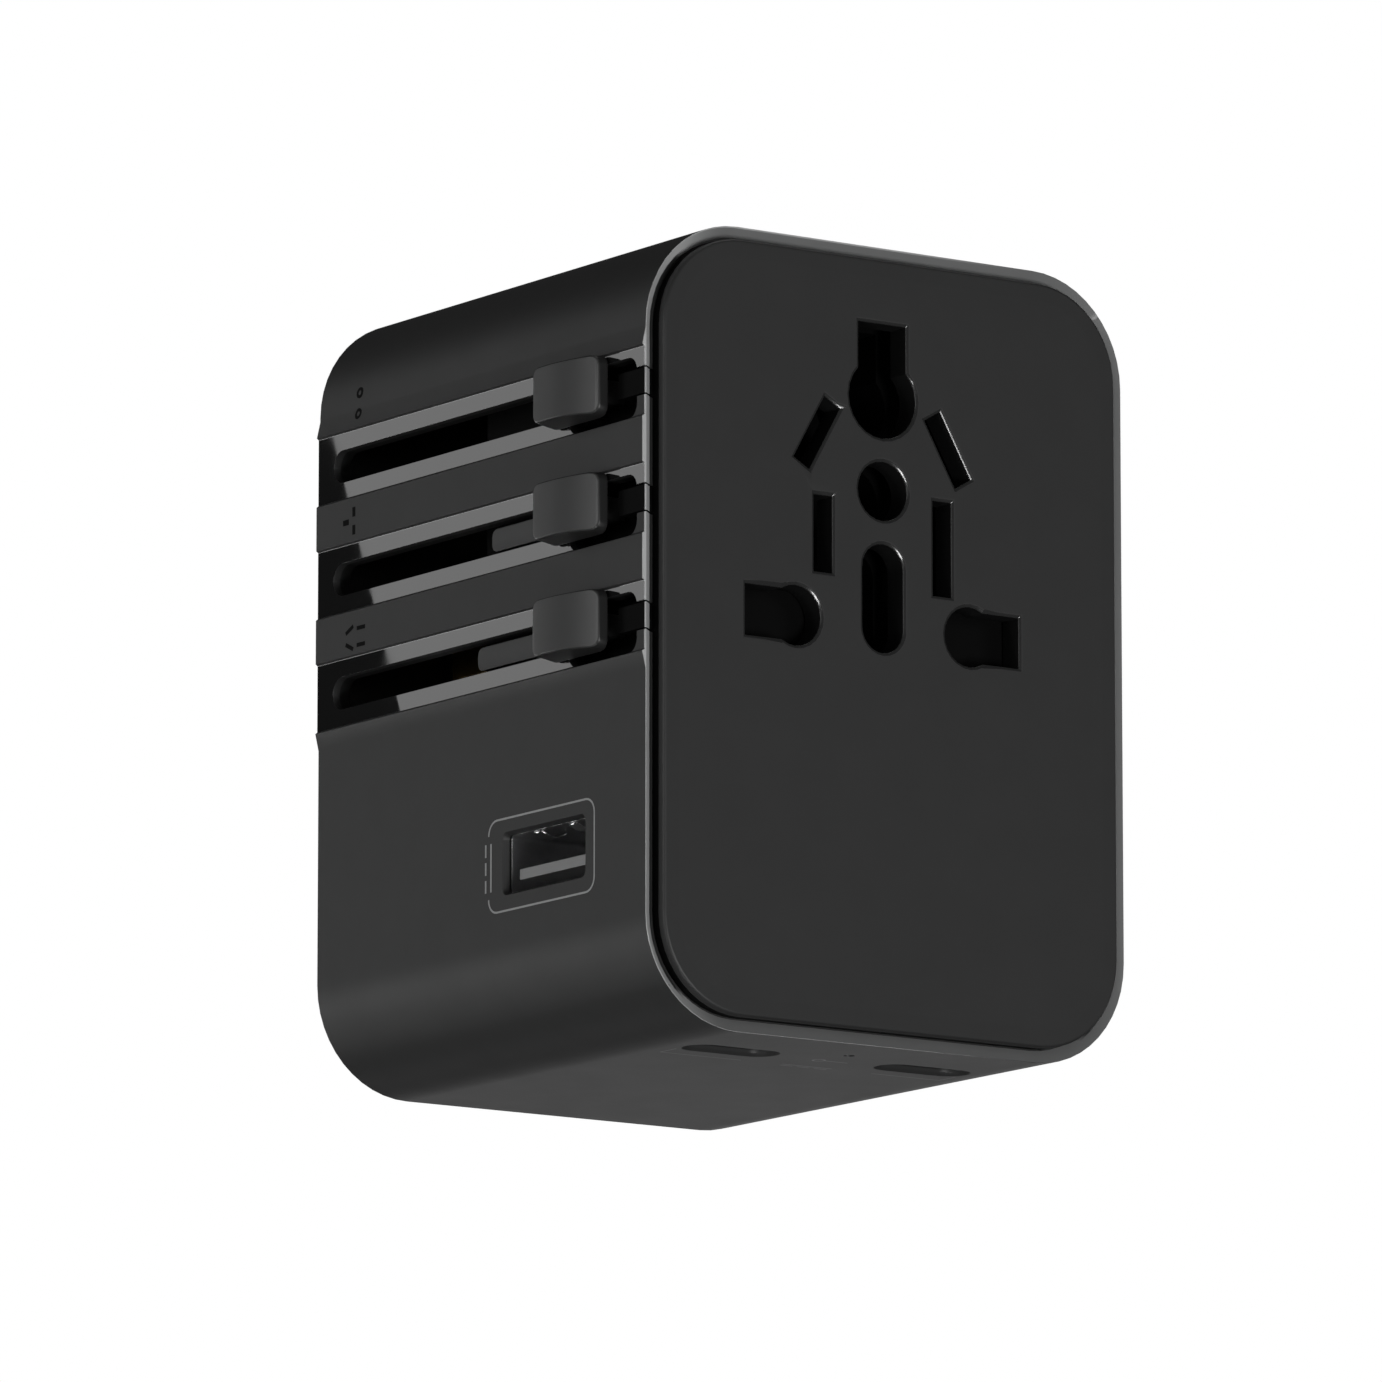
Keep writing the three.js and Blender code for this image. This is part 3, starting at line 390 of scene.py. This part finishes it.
def rim_zones(surface):
    """The sloping inner face of the front rim, with painted light making it paler towards the slider side,
    and a painted highlight along its outer edge.
    """
    tree = surface.tree
    sloping = surface.window(surface.normal["Y"], *SLOPE_NORMAL_Y)
    slope = every(tree, sloping, surface.window(surface.y, AHEAD, RIM_BACK))
    sides = [surface.window(surface.normal["X"], *span, 0.05) for span in SIDEWAYS_NORMAL_X]
    deeper = surface.window(surface.y, station(RIM_SIDE_DEPTH), RIM_BACK, 0.04)
    slope = every(tree, slope, inverse(tree, every(tree, either(tree, *sides), deeper)))
    # Painted light: paler where the slope faces the slider side.
    pale = every(tree, slope, ramp(tree, surface.normal["X"], 0.05, 0.5))
    # Painted highlight: a bright line along the rim's outer edge.
    outer = every(
        tree,
        surface.window(surface.y, AHEAD, station(RIM_HIGHLIGHT_DEPTH)),
        ramp(tree, surface.depth(), 0.1, 0.14, 1.0, 0.0),
        ramp(tree, surface.normal["Z"], 0.2, 0.5, 1.0, 0.0),
        ramp(tree, surface.x, 0.0, 15.0, 1.0, 0.0),
    )
    return [
        (slope, RIM, RIM_ROUGHNESS),
        (pale, RIM_PAINTED_LIGHT, RIM_ROUGHNESS),
        (outer, RIM_PAINTED_HIGHLIGHT, RIM_HIGHLIGHT_ROUGHNESS),
    ]


def bottom_print(surface):
    """A thin bracket behind the USB-C sockets, a row of dashes, and a ring with a bar between the sockets."""
    tree, x, y = surface.tree, surface.x, surface.y
    thin, line, sign = 0.07, station(13.3), station(9.5)
    spots = [
        surface.spot((x, -10.2), (y, line), 4.2, thin),
        surface.spot((x, 11.4), (y, line), 3.6, thin),
        surface.spot((x, -14.4), (y, line - 1.2), thin, 1.2),
        surface.spot((x, 15.0), (y, line - 1.2), thin, 1.2),
        surface.spot((x, 0.8), (y, line - 0.25), 2.6, 0.09),
        surface.spot((x, 1.3), (y, sign), 1.2, 0.1),
    ]
    spots += [surface.spot((x, 0.8 + 1.8 * step), (y, line + 0.35), 0.65, 0.09) for step in (-1, 0, 1)]
    offsets = [maths(tree, "SUBTRACT", value, middle) for value, middle in ((x, -0.5), (y, sign))]
    squares = [maths(tree, "MULTIPLY", value, value) for value in offsets]
    radius = maths(tree, "SQRT", maths(tree, "ADD", *squares))
    spots.append(surface.window(radius, 0.42, 0.62))
    under = surface.window(surface.z, BOTTOM_Z - 1, BOTTOM_Z + 0.02)
    return every(tree, either(tree, *spots), under)


def shell_material():
    """Matte outside, satin rim with painted light and a painted highlight, glossy channel floors, and the
    inside painted near black as shade.
    """
    surface = Surface("matte_shell")
    tree = surface.tree
    outward = ramp(tree, surface.normal["X"], *SIDE_NORMAL_X, 1.0, 0.0)
    on_floor = surface.window(surface.x, FLOOR_X - FLOOR_BAND, FLOOR_X + FLOOR_BAND)
    rows = [surface.window(surface.z, z - CHANNEL_HALF, z + CHANNEL_HALF) for z in CHANNEL_Z]
    floors = every(tree, outward, on_floor, either(tree, *rows))
    lower = [surface.window(surface.z, z - CHANNEL_HALF, z + MATTE_TOP) for z in CHANNEL_Z]
    by_rim = every(tree, surface.window(surface.y, AHEAD, station(MATTE_DEPTH)), either(tree, *lower))
    floors = every(tree, floors, inverse(tree, by_rim))
    deep = ramp(tree, surface.depth(), SKIN, SKIN + 0.1)
    # Painted shade: the shell's inside is painted near black.
    inside = every(tree, deep, surface.window(surface.y, *INTERIOR_Y))
    zones = [
        (None, SHELL, SHELL_ROUGHNESS),
        (bottom_print(surface), PRINT, 0.5),
        (floors, FLOOR_GLOSS, FLOOR_ROUGHNESS),
        (inside, SHADED_INTERIOR, 0.6),
    ]
    return mould(surface, zones + rim_zones(surface), SHELL_ROUGHNESS)


def carriage_material():
    """The slot filler behind each knob is mid grey; the rest of a carriage is painted near black as the shade
    seen through its slot.
    """
    surface = Surface("carriage_plastic")
    filler = surface.window(surface.x, *FILLER_X)
    sheen = value_between(surface.tree, filler, DULL / 2, DEFAULT_SPECULAR)
    return mould(surface, [(None, SLOT_SHADE_BLACK, 0.6), (filler, SLOT_FILLER, 0.45)], 0.5, specular=sheen)


def plate_material():
    """Matte front, smoother bevels round the holes, hole walls painted near black as shade."""
    surface = Surface("matte_plate")
    tree = surface.tree
    bevels = every(
        tree,
        surface.window(surface.normal["Y"], *BEVEL_NORMAL_Y),
        surface.window(surface.y, PLATE_FRONT - 1, PLATE_FRONT + HOLE_BEVEL),
    )
    inner = ramp(tree, surface.depth(), PLATE_BORDER, PLATE_BORDER + 0.4)
    bevels = every(tree, bevels, inner)
    # Painted shade on the hole walls.
    walls = every(tree, inner, ramp(tree, surface.y, PLATE_FRONT + 0.2, PLATE_FRONT + 0.26))
    zones = [(None, PLATE, 0.5), (walls, HOLE_WALL_SHADE, 0.5), (bevels, BEVEL, BEVEL_ROUGHNESS)]
    flat_sheen = value_between(tree, walls, DEFAULT_SPECULAR, DULL)
    sheen = value_between(tree, bevels, flat_sheen, 1.0)
    return mould(surface, zones, 0.5, specular=sheen)


def knob_material():
    """Painted light and shade by facing: lighter on the pressed face, which faces the light, dark on the ends
    and the underside, a middle tone on the rounded edges, which are also smoother.
    """
    surface = Surface("knob_plastic")
    tree = surface.tree
    # Painted light on the face that faces the light; painted shade on the ends and underside.
    face = ramp(tree, surface.normal["X"], *KNOB_FACE_NORMAL_X, 1.0, 0.0)
    turning = surface.window(surface.normal["X"], *KNOB_EDGE_NORMAL_X, 0.05)
    edge = every(tree, turning, surface.window(surface.x, *KNOB_EDGE_X))
    zones = [
        (None, KNOB_SHADED_ENDS, KNOB_ROUGHNESS),
        (face, KNOB_LIT_FACE, KNOB_ROUGHNESS),
        (edge, KNOB_HALF_LIT_EDGE, KNOB_EDGE_ROUGHNESS),
    ]
    return mould(surface, zones, KNOB_ROUGHNESS)


def frame_material():
    """Inner frame painted near black as shade, whose tongues carry the satin rim, with its painted light and
    painted highlight, across each slot.
    """
    surface = Surface("gloss_frame")
    rim = rim_zones(surface)
    slope_mask = rim[0][0]
    sheen = value_between(surface.tree, slope_mask, DULL, DEFAULT_SPECULAR)
    return mould(surface, [(None, SHADED_INTERIOR, 0.6)] + rim, 0.6, grain=0.03, specular=sheen)


def sleeved_pin_material():
    """Nickel pin with a black insulating collar over the half nearer its root."""
    def collar(surface):
        return ramp(surface.tree, surface.y, COLLAR_END - 0.05, COLLAR_END + 0.05, 1.0, 0.0)

    return metal("sleeved_pin", NICKEL, 0.22, zones=[(collar, COLLAR, 0.45)])


def fuse_material():
    """Ceramic tube between two brass caps."""
    def tube(surface):
        return surface.window(surface.y, *FUSE_TUBE, 0.05)

    return metal("fuse_body", BRASS, 0.28, zones=[(tube, CERAMIC, 0.35)])


def transformer_material():
    """Yellow tape round the middle of a dark ferrite core."""
    surface = Surface("transformer_body")
    low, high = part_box("transformer")
    middle, half = (low[2] + high[2]) / 2 / MM, (high[2] - low[2]) / 2 / MM
    tape = surface.window(surface.z, middle - TAPE_SHARE * half, middle + TAPE_SHARE * half, 0.05)
    return mould(surface, [(None, FERRITE, 0.5), (tape, TAPE, 0.35)], 0.5)


def board_material():
    """Green board with tinned tracks and pads."""
    surface = Surface("circuit_board")
    tree = surface.tree
    grid = {"Vector": surface.place, "Scale": 380.0}
    cells = add_node(tree, "ShaderNodeTexVoronoi", grid, feature="F1", distance="CHEBYCHEV")
    pads = ramp(tree, cells.outputs["Distance"], 0.16, 0.2, 1.0, 0.0)
    return mould(surface, [(None, BOARD, 0.35), (pads, TINNED, 0.3)], 0.35)


looks = {
    "matte_shell": shell_material(),
    "matte_plate": plate_material(),
    "gloss_frame": frame_material(),
    # Painted shade: inner pieces are painted near black.
    "inner_plastic": plastic("inner_plastic", SHADED_INTERIOR, 0.45, specular=DULL),
    "carriage_plastic": carriage_material(),
    # Painted shade: the shutters behind the pin holes are painted near black.
    "shutter_plastic": plastic("shutter_plastic", grey(0.004), 0.5, specular=DULL),
    "knob_plastic": knob_material(),
    "white_plastic": plastic("white_plastic", grey(0.55), 0.45),
    "nickel": metal("nickel", NICKEL, 0.22),
    "sleeved_pin": sleeved_pin_material(),
    "fuse_body": fuse_material(),
    "brass": metal("brass", BRASS, 0.3),
    "steel": metal("steel", (0.66, 0.66, 0.67, 1), 0.32),
    "socket_tongue": plastic("socket_tongue", grey(0.34), 0.4),
    "clear_lens": plastic("clear_lens", grey(0.12), 0.15, grain=0.02),
    "circuit_board": board_material(),
    "winding": transformer_material(),
    "capacitor_sleeve": plastic("capacitor_sleeve", (0.012, 0.018, 0.045, 1), 0.3),
}

# ------------------------------------------------------------------ CAD pieces: rounded edges and finishes

SMOOTH_LIMIT = math.radians(32)


def make_shading_group():
    """Smooth shading across shallow angles, sharp across steep ones, as a modifier."""
    group = bpy.data.node_groups.new("shade_by_angle", "GeometryNodeTree")
    group.interface.new_socket("Geometry", in_out="INPUT", socket_type="NodeSocketGeometry")
    group.interface.new_socket("Geometry", in_out="OUTPUT", socket_type="NodeSocketGeometry")
    start = group.nodes.new("NodeGroupInput")
    end = group.nodes.new("NodeGroupOutput")
    angle = group.nodes.new("GeometryNodeInputMeshEdgeAngle")
    steep = group.nodes.new("FunctionNodeCompare")
    steep.data_type = "FLOAT"
    steep.operation = "GREATER_THAN"
    steep.inputs[1].default_value = SMOOTH_LIMIT
    faces = group.nodes.new("GeometryNodeSetShadeSmooth")
    faces.domain = "FACE"
    faces.inputs["Shade Smooth"].default_value = True
    edges = group.nodes.new("GeometryNodeSetShadeSmooth")
    edges.domain = "EDGE"
    edges.inputs["Shade Smooth"].default_value = False
    group.links.new(angle.outputs["Unsigned Angle"], steep.inputs[0])
    group.links.new(start.outputs[0], faces.inputs["Geometry"])
    group.links.new(faces.outputs["Geometry"], edges.inputs["Geometry"])
    group.links.new(steep.outputs["Result"], edges.inputs["Selection"])
    group.links.new(edges.outputs["Geometry"], end.inputs[0])
    return group


shade_by_angle = make_shading_group()


WELD_DISTANCE = 0.002 * MM
FLAT_LIMIT = math.radians(0.5)
EDGE_LIMIT = math.radians(30)


def soften(piece, width, segments=2):
    """Round the edges by a width in millimetres and shade evenly, all as modifiers."""
    weld = piece.modifiers.new("weld", "WELD")
    weld.merge_threshold = WELD_DISTANCE
    flat = piece.modifiers.new("flat", "DECIMATE")
    flat.decimate_type = "DISSOLVE"
    flat.angle_limit = FLAT_LIMIT
    if width:
        rounding = piece.modifiers.new("rounding", "BEVEL")
        rounding.width = width * MM
        rounding.segments = segments
        rounding.limit_method = "ANGLE"
        rounding.angle_limit = EDGE_LIMIT
        rounding.use_clamp_overlap = True
    smooth = piece.modifiers.new("smooth", "NODES")
    smooth.node_group = shade_by_angle
    even = piece.modifiers.new("even", "WEIGHTED_NORMAL")
    even.keep_sharp = True


# Edge widths in millimetres, by the start of a piece's name.
EDGE_WIDTHS = {
    "knob": 0.2,
    "face_plate": 0.05,
    "housing_sleeve": 0.08,
    "front_frame": 0.08,
    "shutter_spring": 0,
}
DEFAULT_EDGE = 0.1
KNOB_SEGMENTS = 4
PLAIN_SEGMENTS = 2

slots = {entry["node"]: entry["material_slot"] for entry in frame["record"]["subparts"]}
slots["usb_a_tongue"] = "socket_tongue"
slots["fuse"] = "fuse_body"
slots["safety_shutter"] = "shutter_plastic"
for pin in ("eu_pin_left", "eu_pin_right", "uk_pin_line", "uk_pin_neutral"):
    slots[pin] = "sleeved_pin"
for name, piece in frame["nodes"].items():
    piece.data.materials.clear()
    piece.data.materials.append(looks[slots[name]])
    width = next((size for prefix, size in EDGE_WIDTHS.items() if name.startswith(prefix)), DEFAULT_EDGE)
    soften(piece, width, KNOB_SEGMENTS if name.startswith("knob") else PLAIN_SEGMENTS)

# ------------------------------------------------------------------ added pieces


def add_piece(name, points, faces, material):
    """A closed mesh on the adapter body, from points in millimetres."""
    mesh = bpy.data.meshes.new(name)
    mesh.from_pydata([Vector(point) * MM for point in points], [], faces)
    mesh.validate()
    mesh.materials.append(material)
    work = bmesh.new()
    work.from_mesh(mesh)
    bmesh.ops.recalc_face_normals(work, faces=work.faces)
    work.to_mesh(mesh)
    work.free()
    piece = bpy.data.objects.new(name, mesh)
    scene.collection.objects.link(piece)
    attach(piece, "adapter_body")
    return piece


# ------------------------------------------------------------------ printed marks on the slider side


def side_surface(z):
    """Where the slider side's outer surface lies, at a height between the two rounded corners."""
    top, bottom = CHANNEL_Z[0] + CHANNEL_HALF, CHANNEL_Z[-1] - CHANNEL_HALF
    if bottom <= z <= top:
        return PAD_X
    beyond = z - top if z > top else bottom - z
    if beyond < PAD_RAMP:
        return PAD_X + (SIDE_X - PAD_X) * beyond / PAD_RAMP
    over = abs(z) - (-BOTTOM_Z - CORNER_RADIUS)
    if over <= 0:
        return SIDE_X
    return SIDE_X + CORNER_RADIUS - math.sqrt(CORNER_RADIUS ** 2 - over ** 2)


INK_HEIGHT = 0.012
INK_ROOT = 0.05


class Ink:
    """Closed prisms just proud of a surface, gathered into one mesh."""

    def __init__(self):
        self.points = []
        self.faces = []

    def place(self, along, across, lift):
        return (side_surface(across) - lift, along, across)

    def add_strip(self, left, right, closed=False):
        """Two matching rows of points become a strip with thickness."""
        count = len(left)
        start = len(self.points)
        for lift in (INK_HEIGHT, -INK_ROOT):
            for row in (left, right):
                self.points += [self.place(along, across, lift) for along, across in row]
        top_left, top_right, low_left, low_right = (start + count * k for k in range(4))
        steps = count if closed else count - 1
        for i in range(steps):
            j = (i + 1) % count
            self.faces += [
                (top_left + i, top_left + j, top_right + j, top_right + i),
                (low_left + i, low_right + i, low_right + j, low_left + j),
                (top_left + i, low_left + i, low_left + j, top_left + j),
                (top_right + i, top_right + j, low_right + j, low_right + i),
            ]
        if not closed:
            for i in (0, count - 1):
                self.faces.append((top_left + i, top_right + i, low_right + i, low_left + i))

    def add_line(self, path, width):
        left, right = [], []
        for i, point in enumerate(path):
            before, after = path[max(i - 1, 0)], path[min(i + 1, len(path) - 1)]
            way = Vector((after[0] - before[0], after[1] - before[1])).normalized()
            side = Vector((-way.y, way.x)) * width / 2
            left.append((point[0] + side.x, point[1] + side.y))
            right.append((point[0] - side.x, point[1] - side.y))
        self.add_strip(left, right)

    def add_bar(self, centre, length, width, angle=0.0, steps=6):
        way = Vector((math.cos(math.radians(angle)), math.sin(math.radians(angle))))
        path = [Vector(centre) + way * length * (i / steps - 0.5) for i in range(steps + 1)]
        self.add_line([tuple(point) for point in path], width)

    def add_ring(self, centre, radius, width, steps=28):
        turn = [2 * math.pi * i / steps for i in range(steps)]
        rows = [
            [(centre[0] + r * math.cos(a), centre[1] + r * math.sin(a)) for a in turn]
            for r in (radius + width / 2, radius - width / 2)
        ]
        self.add_strip(*rows, closed=True)


def arc(centre, radius, start, end, steps=6):
    angles = [math.radians(start + (end - start) * i / steps) for i in range(steps + 1)]
    return [(centre[0] + radius * math.cos(a), centre[1] + radius * math.sin(a)) for a in angles]


def usb_a_outline(ink):
    """A rounded frame round the USB-A socket, broken at the rear by a direct-current sign."""
    front, rear = station(7.7), station(23.66)
    low, high = -22.47, -14.48
    radius, width = 1.25, 0.17
    gap_top, gap_bottom = -15.7, -21.3
    path = [(rear, gap_top)]
    path += arc((rear - radius, high - radius), radius, 0, 90)
    path += arc((front + radius, high - radius), radius, 90, 180)
    path += arc((front + radius, low + radius), radius, 180, 270)
    path += arc((rear - radius, low + radius), radius, 270, 360)
    path += [(rear, gap_bottom)]
    ink.add_line(path, width)
    middle = (gap_top + gap_bottom) / 2
    ink.add_bar((rear - 0.35, middle), 4.2, 0.2, 90)
    for step in (-1, 0, 1):
        ink.add_bar((rear + 0.45, middle + 1.55 * step), 1.1, 0.2, 90)


def slider_signs(ink):
    """Small pictograms of each plug's pins beside the rear end of its slot."""
    eu, uk, us = (-6.2, 25.6), (-5.5, 15.1), (-6.4, 4.7)
    for side in (-1, 1):
        ink.add_ring((eu[0], eu[1] + 0.95 * side), 0.36, 0.28)
        ink.add_bar((uk[0] - 0.5, uk[1] + 0.8 * side), 0.45, 0.85)
        ink.add_bar((us[0] - 0.8, us[1] + 0.75 * side), 1.3, 0.36)
        ink.add_bar((us[0] + 1.0, us[1] + 0.75 * side), 1.3, 0.36, -25 * side)
    ink.add_bar((uk[0] + 0.75, uk[1]), 0.9, 0.5)


pale_ink = plastic("pale_ink", grey(0.42), 0.5, grain=0.05)
dark_ink = plastic("dark_ink", grey(0.006), 0.7, grain=0.05, specular=DULL)
for mark_name, draw, ink_look in (
    ("usb_outline_print", usb_a_outline, pale_ink),
    ("slider_sign_marks", slider_signs, dark_ink),
):
    ink = Ink()
    draw(ink)
    add_piece(mark_name, ink.points, ink.faces, ink_look)


# ------------------------------------------------------------------ USB-A retention springs


def sprung_leaf(name, x, y, z):
    """A stamped tongue that bows down from the shell's roof."""
    length, width, thickness, drop, steps = 2.6, 1.5, 0.16, 0.42, 10
    points, faces = [], []
    for i in range(steps + 1):
        t = i / steps
        bow = drop * math.sin(math.pi * t) ** 1.5
        half = width / 2 * (1 - 0.25 * abs(2 * t - 1) ** 3)
        for side in (-1, 1):
            for lift in (0, thickness):
                points.append((x + length * t, y + half * side, z - bow - thickness + lift))
    for i in range(steps):
        a, b = 4 * i, 4 * i + 4
        for first, second in ((0, 1), (1, 3), (3, 2), (2, 0)):
            faces.append((a + first, a + second, b + second, b + first))
    last = 4 * steps
    faces += [(0, 2, 3, 1), (last, last + 1, last + 3, last + 2)]
    soften(add_piece(name, points, faces, bright_steel), 0.04)


bright_steel = metal("bright_steel", (0.78, 0.78, 0.78, 1), 0.2, grain=ALONG_X, tarnish=0.1)
for spring_name, spring_station in (("usb_spring_rear", 17.7), ("usb_spring_front", 12.4)):
    sprung_leaf(spring_name, -24.1, station(spring_station), USB_A_ROOF)


# ------------------------------------------------------------------ shutter spring


def shutter_coil(turns=9, wire=0.18, steps=24, sides=10):
    """A smooth coil in place of the stiff CAD spring, with a mesh of its own."""
    low, high = (Vector(corner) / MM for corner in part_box("shutter_spring"))
    middle = (low + high) / 2
    radius = (high.x - low.x) / 2 - wire
    rise = high.z - low.z - 2 * wire
    count = turns * steps
    points, faces = [], []
    for i in range(count + 1):
        angle = 2 * math.pi * i / steps
        outward = Vector((math.cos(angle), math.sin(angle), 0))
        centre = Vector((middle.x, middle.y, low.z + wire + rise * i / count)) + outward * radius
        for k in range(sides):
            way = 2 * math.pi * k / sides
            points.append(centre + (outward * math.cos(way) + Vector((0, 0, 1)) * math.sin(way)) * wire)
    for i in range(count):
        for k in range(sides):
            following = (k + 1) % sides
            a, b = i * sides, (i + 1) * sides
            faces.append((a + k, b + k, b + following, a + following))
    faces.append(tuple(range(sides)))
    faces.append(tuple(count * sides + k for k in reversed(range(sides))))
    piece = add_piece("shutter_coil", points, faces, looks["steel"])
    soften(piece, 0)
    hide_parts("shutter_spring")
    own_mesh(piece)


shutter_coil()

# ------------------------------------------------------------------ camera, light and floor

VIEW_AZIMUTH = math.radians(-34.96)
VIEW_ELEVATION = math.radians(-10.11)
VIEW_DISTANCE = 1.0423
VIEW_LENS = 317.5
VIEW_OFF_CENTRE = (-16.8, -3.86)
SENSOR_WIDTH = 36
CLIP_START, CLIP_END = 0.05, 20


def add_camera():
    back = Vector((
        math.sin(VIEW_AZIMUTH) * math.cos(VIEW_ELEVATION),
        -math.cos(VIEW_AZIMUTH) * math.cos(VIEW_ELEVATION),
        math.sin(VIEW_ELEVATION),
    ))
    right = Vector((math.cos(VIEW_AZIMUTH), math.sin(VIEW_AZIMUTH), 0))
    up = back.cross(right)
    data = bpy.data.cameras.new("camera")
    data.lens = VIEW_LENS
    data.sensor_width = SENSOR_WIDTH
    data.clip_start = CLIP_START
    data.clip_end = CLIP_END
    camera = bpy.data.objects.new("camera", data)
    scene.collection.objects.link(camera)
    aim = Vector((0, FRONT_Y, 0)) * MM + (right * VIEW_OFF_CENTRE[0] + up * VIEW_OFF_CENTRE[1]) * MM
    turn = Matrix((right, up, back)).transposed().to_4x4()
    camera.matrix_world = Matrix.Translation(aim + back * VIEW_DISTANCE) @ turn
    scene.camera = camera


def add_panel(name, size, power, place, turn):
    """A rectangular light of that width and height, turned by a matrix whose Z points away from its beam."""
    data = bpy.data.lights.new(name, "AREA")
    data.shape = "RECTANGLE"
    data.size, data.size_y = size
    data.energy = power
    light = bpy.data.objects.new(name, data)
    scene.collection.objects.link(light)
    light.matrix_world = Matrix.Translation(place) @ turn.to_4x4()


def add_light(name, direction, side, power):
    """A square light aimed at the middle of the adapter."""
    target = Vector((0, FRONT_Y / 2, 0)) * MM
    place = target + Vector(direction).normalized() * LIGHT_DISTANCE
    turn = (place - target).to_track_quat("Z", "Y").to_matrix()
    add_panel(name, (side, side), power, place, turn)


def add_world(ambient):
    world = bpy.data.worlds.new("studio")
    scene.world = world
    world.use_nodes = True
    tree = world.node_tree
    tree.nodes.clear()
    seen = add_node(tree, "ShaderNodeLightPath").outputs["Is Camera Ray"]
    colour = colour_between(tree, seen, (ambient, ambient, ambient, 1), (1, 1, 1, 1))
    background = add_node(tree, "ShaderNodeBackground", {"Color": colour})
    output = add_node(tree, "ShaderNodeOutputWorld")
    tree.links.new(background.outputs[0], output.inputs["Surface"])


FLOOR_HALF = 3.0
FLOOR_CLEARANCE = 0.02
FLOOR_PALE = (grey(0.42), grey(0.46))
FLOOR_GLOW = 1.5


def add_floor():
    """A pale floor, mostly self-lit so it stays even; from below it lets the view and the light through."""
    surface = Surface("floor")
    tree = surface.tree
    cloud = noise(tree, surface.place, 18.0, 4.0)
    pale = colour_between(tree, cloud, *FLOOR_PALE)
    surface.set(Base_Color=pale, Roughness=0.9, Specular_IOR_Level=0.1)
    surface.set(Emission_Color=pale, Emission_Strength=FLOOR_GLOW)
    below = add_node(tree, "ShaderNodeNewGeometry").outputs["Backfacing"]
    seen = add_node(tree, "ShaderNodeLightPath").outputs["Is Camera Ray"]
    solid = every(tree, seen, inverse(tree, below))
    clear = add_node(tree, "ShaderNodeBsdfTransparent")
    mixed = add_node(tree, "ShaderNodeMixShader", {0: solid})
    tree.links.new(clear.outputs[0], mixed.inputs[1])
    tree.links.new(surface.shader.outputs[0], mixed.inputs[2])
    tree.links.new(mixed.outputs[0], tree.nodes["Material Output"].inputs["Surface"])
    level = (BOTTOM_Z - FLOOR_CLEARANCE) * MM
    signs = ((-1, -1), (1, -1), (1, 1), (-1, 1))
    corners = [(FLOOR_HALF * x, FLOOR_HALF * y, level) for x, y in signs]
    mesh = bpy.data.meshes.new("floor")
    mesh.from_pydata(corners, [], [(0, 1, 2, 3)])
    mesh.materials.append(surface.material)
    floor = bpy.data.objects.new("floor", mesh)
    scene.collection.objects.link(floor)


# Edge of the side softbox: its reflection in the channel floors stops along a slanting line near the rear.
SOFTBOX_X = -313.0
SOFTBOX_EDGE = ((436.7, 128.0), (420.5, 89.3))
SOFTBOX_SIZE = (0.1, 0.08)
SOFTBOX_POWER = 0.05


def add_side_softbox():
    """A panel beside and behind the adapter, seen only as the reflection in the glossy channel floors."""
    (y_high, z_high), (y_low, z_low) = SOFTBOX_EDGE
    lean = math.atan2(y_high - y_low, z_high - z_low)
    along = Vector((0, math.sin(lean), math.cos(lean)))
    inward = Vector((1, 0, 0))
    across = along.cross(inward)
    edge = Vector((SOFTBOX_X, (y_high + y_low) / 2, (z_high + z_low) / 2)) * MM
    half = across * SOFTBOX_SIZE[0] / 2
    centre = edge - half if across.y > 0 else edge + half
    turn = Matrix((across, along, -inward)).transposed()
    add_panel("side_softbox", SOFTBOX_SIZE, SOFTBOX_POWER, centre, turn)


AMBIENT = 0.02
LIGHT_DISTANCE = 0.8
# Name, direction from the adapter, side of the square in metres, power in watts.
LIGHTS = (
    ("left", (-1, 0, 0), 0.4, 1.3),
    ("left_under", (-0.53, -0.3, -0.73), 0.12, 0.7),
    ("left_rear_high", (-0.52, 0.81, 0.40), 0.15, 0.14),
    ("left_rear", (-0.57, 0.81, -0.13), 0.12, 0.37),
    ("left_rear_low", (-0.43, 0.81, -0.40), 0.15, 0.155),
    ("rear", (0, 1, 0), 0.3, 0.8),
    ("top", (0.3, 0.1, 1), 0.4, 0.6),
    ("right", (1, 0.3, 0.1), 0.4, 0.8),
    ("rear_lower", (0.13, 0.80, -0.58), 0.15, 0.056),
    ("right_rear_low", (0.56, 0.81, -0.17), 0.3, 0.22),
    ("front_left", (-0.7, -0.7, 0.1), 0.4, 0.4),
    ("front_right", (0.56, -0.81, 0.18), 0.3, 0.23),
    ("front_low", (-0.09, -0.93, -0.32), 0.22, 2.75),
)

add_camera()
add_world(AMBIENT)
add_floor()
add_side_softbox()
for light in LIGHTS:
    add_light(*light)

scene.view_settings.view_transform = "Standard"
scene.view_settings.look = "None"
